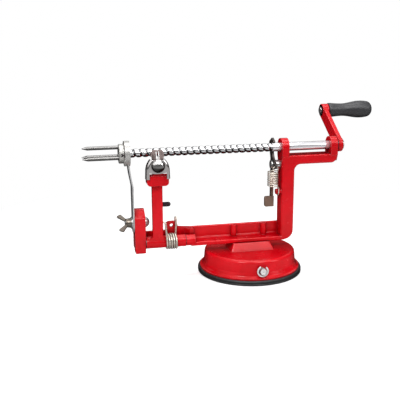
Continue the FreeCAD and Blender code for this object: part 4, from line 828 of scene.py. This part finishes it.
dome_profile = [(0, -5.2), (1.9, -5.2), (1.9, 0.0), (6.0, 0.0), (6.3, 0.3)]
dome_profile += quarter_round(6.35, 4.5, 0.8, 19)
dome_profile = [(radius, -height) for radius, height in dome_profile]
dome = turned("domed_nut", dome_profile, (HEAD_X, -16.65, 113.9), "y", sides=64)
dress(dome, DOME)
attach(dome, "peeler_arm")
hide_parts("blade_screw")

# Retaining ring on the front end of the cam shaft, with a narrow mouth.

RING_OUTER, RING_INNER = 5.7, 4.1
RING_FRONT, RING_BACK = -48.4, -47.3
ARC_STEPS = 40


def shaft_arc(radius, start, end):
    """Points round the cam shaft's line, from one angle in degrees to another."""
    angles = [math.radians(start + (end - start) * i / ARC_STEPS) for i in range(ARC_STEPS + 1)]
    return [(radius * math.cos(a), SHAFT_Z + radius * math.sin(a)) for a in angles]


ring = shaft_arc(RING_OUTER, 112, 410) + shaft_arc(RING_INNER, 410, 116)
clip = plate("retaining_ring", ring, "y", RING_FRONT, RING_BACK, bevel=0.3)
dress(clip, PALE)
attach(clip, "lever")
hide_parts("e_clip")

# Light end face of the cam shaft, with a small centre mark.

shaft_end_profile = [
    (0, -50.05), (2.9, -50.05), (3.02, -50.15), (2.95, -50.3), (0.7, -50.32), (0.35, -50.2), (0, -50.15),
]
shaft_end = turned("shaft_end", shaft_end_profile, (0, 0, SHAFT_Z), "y", sides=40)
dress(shaft_end, PALE)
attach(shaft_end, "lever")

# Socket of the hub's set screw.

SET_SCREW_X = -126.6

socket_profile = [(0, -9.0), (1.45, -9.0), (1.45, -9.3), (1.25, -9.36), (1.0, -9.3), (0.9, -9.1), (0, -9.1)]
socket = turned("set_screw_socket", socket_profile, (SET_SCREW_X, 0, SCREW_Z), "y", sides=24)
dress(socket, BLACKENED)
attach(socket, "drive")

# Lower foot of the left bracket.

FOOT_LEFT, FOOT_RIGHT = -115.9, -105.9

foot_outline = [(-7.85, 34), (-7.85, 27.2), (-6.5, 25.8), (2.6, 25.8), (4.0, 27.2), (4.0, 34)]
foot = plate("bracket_foot", foot_outline, "x", FOOT_LEFT, FOOT_RIGHT, bevel=0.9)
dress(foot, RED)
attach(foot, "frame")

# Suction pad: soft rubber with a rolled rim, a fine lip and grip rings; its middle lifts with the post.

upper_side = [
    (15.7, 2.1), (15.9, 2.25), (39.6, 2.2), (40.4, 2.5), (42.6, 4.3), (43.2, 4.7), (44.0, 4.8), (49.9, 4.8),
    (50.2, 4.66), (50.4, 4.7), (50.8, 4.78),
]
rolled_rim = [
    (51.3, 4.6), (51.7, 4.2), (51.92, 3.6), (52.0, 3.0), (51.95, 2.3), (51.6, 2.0), (51.62, 1.8),
    (51.9, 1.5), (52.0, 1.0), (51.85, 0.4), (51.4, 0.05), (50.6, 0.0),
]
grip_rings = [
    (48.0, 0.0), (47.4, 0.18), (46.0, 0.2), (45.4, 0.0), (41.0, 0.0), (40.4, 0.18), (39.0, 0.2),
    (38.4, 0.0), (15.9, 0.0), (15.7, 0.2),
]
pad = turned("rubber_pad", upper_side + rolled_rim + grip_rings, (0, 0, 0), "z", sides=160)
middle_profile = [
    (0, 1.2), (12.3, 1.2), (12.3, 3.4), (10.1, 3.4), (10.1, 5.0), (15.0, 5.0), (15.6, 4.4), (16.8, 3.0),
    (16.8, 2.4), (15.5, 2.4), (15.5, 0.2), (15.3, 0.0), (0, 0.0),
]
middle = turned("rubber_pad_middle", middle_profile, (0, 0, 0), "z", sides=96)
for piece, body in ((pad, "frame"), (middle, "pad_post")):
    dress(piece, RUBBER)
    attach(piece, body)
    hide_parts("suction_pad")

# Stage: a white table, a room that only reflections see, lamps and a pale world.

TABLE_HALF = 6000
TABLE_DROP = 0.2
ROOM_RADIUS = 5000


def table_material():
    """White paper that keeps a soft shadow near the object and fades to plain white."""
    look = Surface("white_table", (0.93, 0.93, 0.93))
    look.put("Roughness", 0.85)
    look.put("Specular IOR Level", 0.05)
    grain = look.ramp(look.noise(30, 3, 0.5), 0.3, 0.7, 0.0, 0.05)
    look.put("Base Color", look.blend(grain, (0.92, 0.92, 0.92), (0.86, 0.86, 0.86)))
    seen = look.rays("Is Camera Ray")
    look.put("Emission Color", WHITE)
    look.put("Emission Strength", look.times(seen, 0.42))
    away = look.vector("LENGTH", look.place)
    plain = look.glow(look.ramp(seen, 0, 1, 0.12, 1.0))
    paper = look.either(look.ramp(away, 0.13, 0.4), look.shader.outputs[0], plain)
    # In reflections the table shows a painted glow instead of itself: dim near the object, brightest some
    # way in front, dimmer further out.
    front = look.ramp(look.split(look.place)["Y"], 0.05, -0.06, 0.05, 1.0)
    rise = look.ramp(away, 0.07, 0.16, 0.05, 0.85)
    fall = look.ramp(away, 0.26, 0.42, 1.0, 0.56)
    mirrored = look.glow(look.times(front, look.times(rise, fall)))
    look.show(look.either(look.rays("Is Glossy Ray"), paper, mirrored))
    return look.material


def studio_material():
    """A dim room with a brighter ceiling, a pale side and one window."""
    look = Surface("studio_room", (0, 0, 0))
    toward = look.vector("NORMALIZE", look.place)
    part = look.split(toward)
    height = part["Z"]
    total = look.ramp(height, 0.22, 0.7, 0.01, 0.2)
    ahead = look.times(look.ramp(part["Y"], 0.1, -0.35), look.ramp(height, 0.1, 0.42, 0.0, 0.5))
    ceiling = look.ramp(height, 0.62, 0.8, 0.0, 0.55)
    side = look.times(look.ramp(part["X"], -0.55, -0.8, 0.0, 0.8), look.ramp(height, 0.12, 0.3))
    window = look.ramp(look.vector("DOT_PRODUCT", toward, (0.2, -0.68, 0.705)), 0.955, 0.985, 0.0, 7.0)
    for light in (ahead, ceiling, side, window):
        total = look.calc("ADD", total, light)
    look.show(look.glow(total))
    return look.material


corners = [(x * TABLE_HALF, y * TABLE_HALF, 0) for x, y in ((-1, -1), (1, -1), (1, 1), (-1, 1))]
table = mesh_object("table", corners, [(0, 1, 2, 3)])
table.location.z = -TABLE_DROP * MM
dress(table, table_material())

room_profile = [polar(ROOM_RADIUS, math.radians(-90 + 7.5 * i)) for i in range(25)]
room = turned("studio_room", room_profile, (0, 0, 0), "z", sides=48)
dress(room, studio_material())
room.visible_camera = room.visible_diffuse = room.visible_shadow = room.visible_transmission = False


def lamp(name, place, aim_height, size, power):
    """A soft lamp in metres and watts, aimed at a height over the origin."""
    data = bpy.data.lights.new(name, "AREA")
    data.shape = "RECTANGLE"
    data.size, data.size_y = size
    data.energy = power
    obj = bpy.data.objects.new(name, data)
    bpy.context.scene.collection.objects.link(obj)
    obj.location = place
    obj.rotation_euler = (Z * aim_height - Vector(place)).to_track_quat("-Z", "Y").to_euler()


lamp("key", (-0.55, -0.75, 0.85), 0.08, (0.3, 0.3), 6.0)
lamp("fill", (0.75, -0.55, 0.5), 0.08, (0.3, 0.5), 2.2)
lamp("top", (0.05, 0.1, 1.0), 0.05, (0.8, 0.5), 5.4)
lamp("back", (0.3, 0.8, 0.7), 0.1, (0.9, 0.4), 1.0)


def studio_world():
    """White for the eye, for mirrors and through glass, and a weaker cool light for all else."""
    world = bpy.data.worlds.new("studio")
    world.use_nodes = True
    world.node_tree.nodes.clear()
    sky = Tree(world.node_tree)
    seen = sky.rays("Is Camera Ray")
    for kind in ("Is Glossy Ray", "Is Transmission Ray"):
        seen = sky.calc("MAXIMUM", seen, sky.rays(kind))
    soft = sky.fed("ShaderNodeBackground", {"Color": (0.96, 0.98, 1.0, 1), "Strength": 0.3})[0]
    white = sky.fed("ShaderNodeBackground", {"Color": WHITE, "Strength": 1.0})[0]
    sky.fed("ShaderNodeOutputWorld", {"Surface": sky.either(seen, soft, white)})
    return world


bpy.context.scene.world = studio_world()

# Camera, placed as the photograph was taken: lengths of the picture in pixels, the distance in millimetres.

YAW, PITCH_DOWN, ROLL = math.radians(12.2011), math.radians(14.0141), math.radians(-0.32)
PICTURE, FOCAL, ORIGIN_X, ORIGIN_Y = 400, 740.662, 248.9877, 268.3715
DISTANCE = 754.0489
SENSOR = 36


def photo_camera():
    level = Vector((math.sin(YAW), math.cos(YAW), 0))
    forward = level * math.cos(PITCH_DOWN) - Z * math.sin(PITCH_DOWN)
    right = level.cross(Z)
    up = right.cross(forward)
    right, up = (
        right * math.cos(ROLL) + up * math.sin(ROLL),
        up * math.cos(ROLL) - right * math.sin(ROLL),
    )
    aside, above = (ORIGIN_X - PICTURE / 2) / FOCAL, (PICTURE / 2 - ORIGIN_Y) / FOCAL
    eye = -(right * aside + up * above + forward) * DISTANCE * MM
    data = bpy.data.cameras.new("camera")
    data.sensor_width = SENSOR
    data.lens = FOCAL * SENSOR / PICTURE
    data.clip_start = 0.02
    data.clip_end = 50
    camera = bpy.data.objects.new("camera", data)
    bpy.context.scene.collection.objects.link(camera)
    camera.matrix_world = Matrix.Translation(eye) @ Matrix((right, up, -forward)).transposed().to_4x4()
    return camera


bpy.context.scene.camera = photo_camera()
bpy.context.scene.view_settings.view_transform = "Standard"
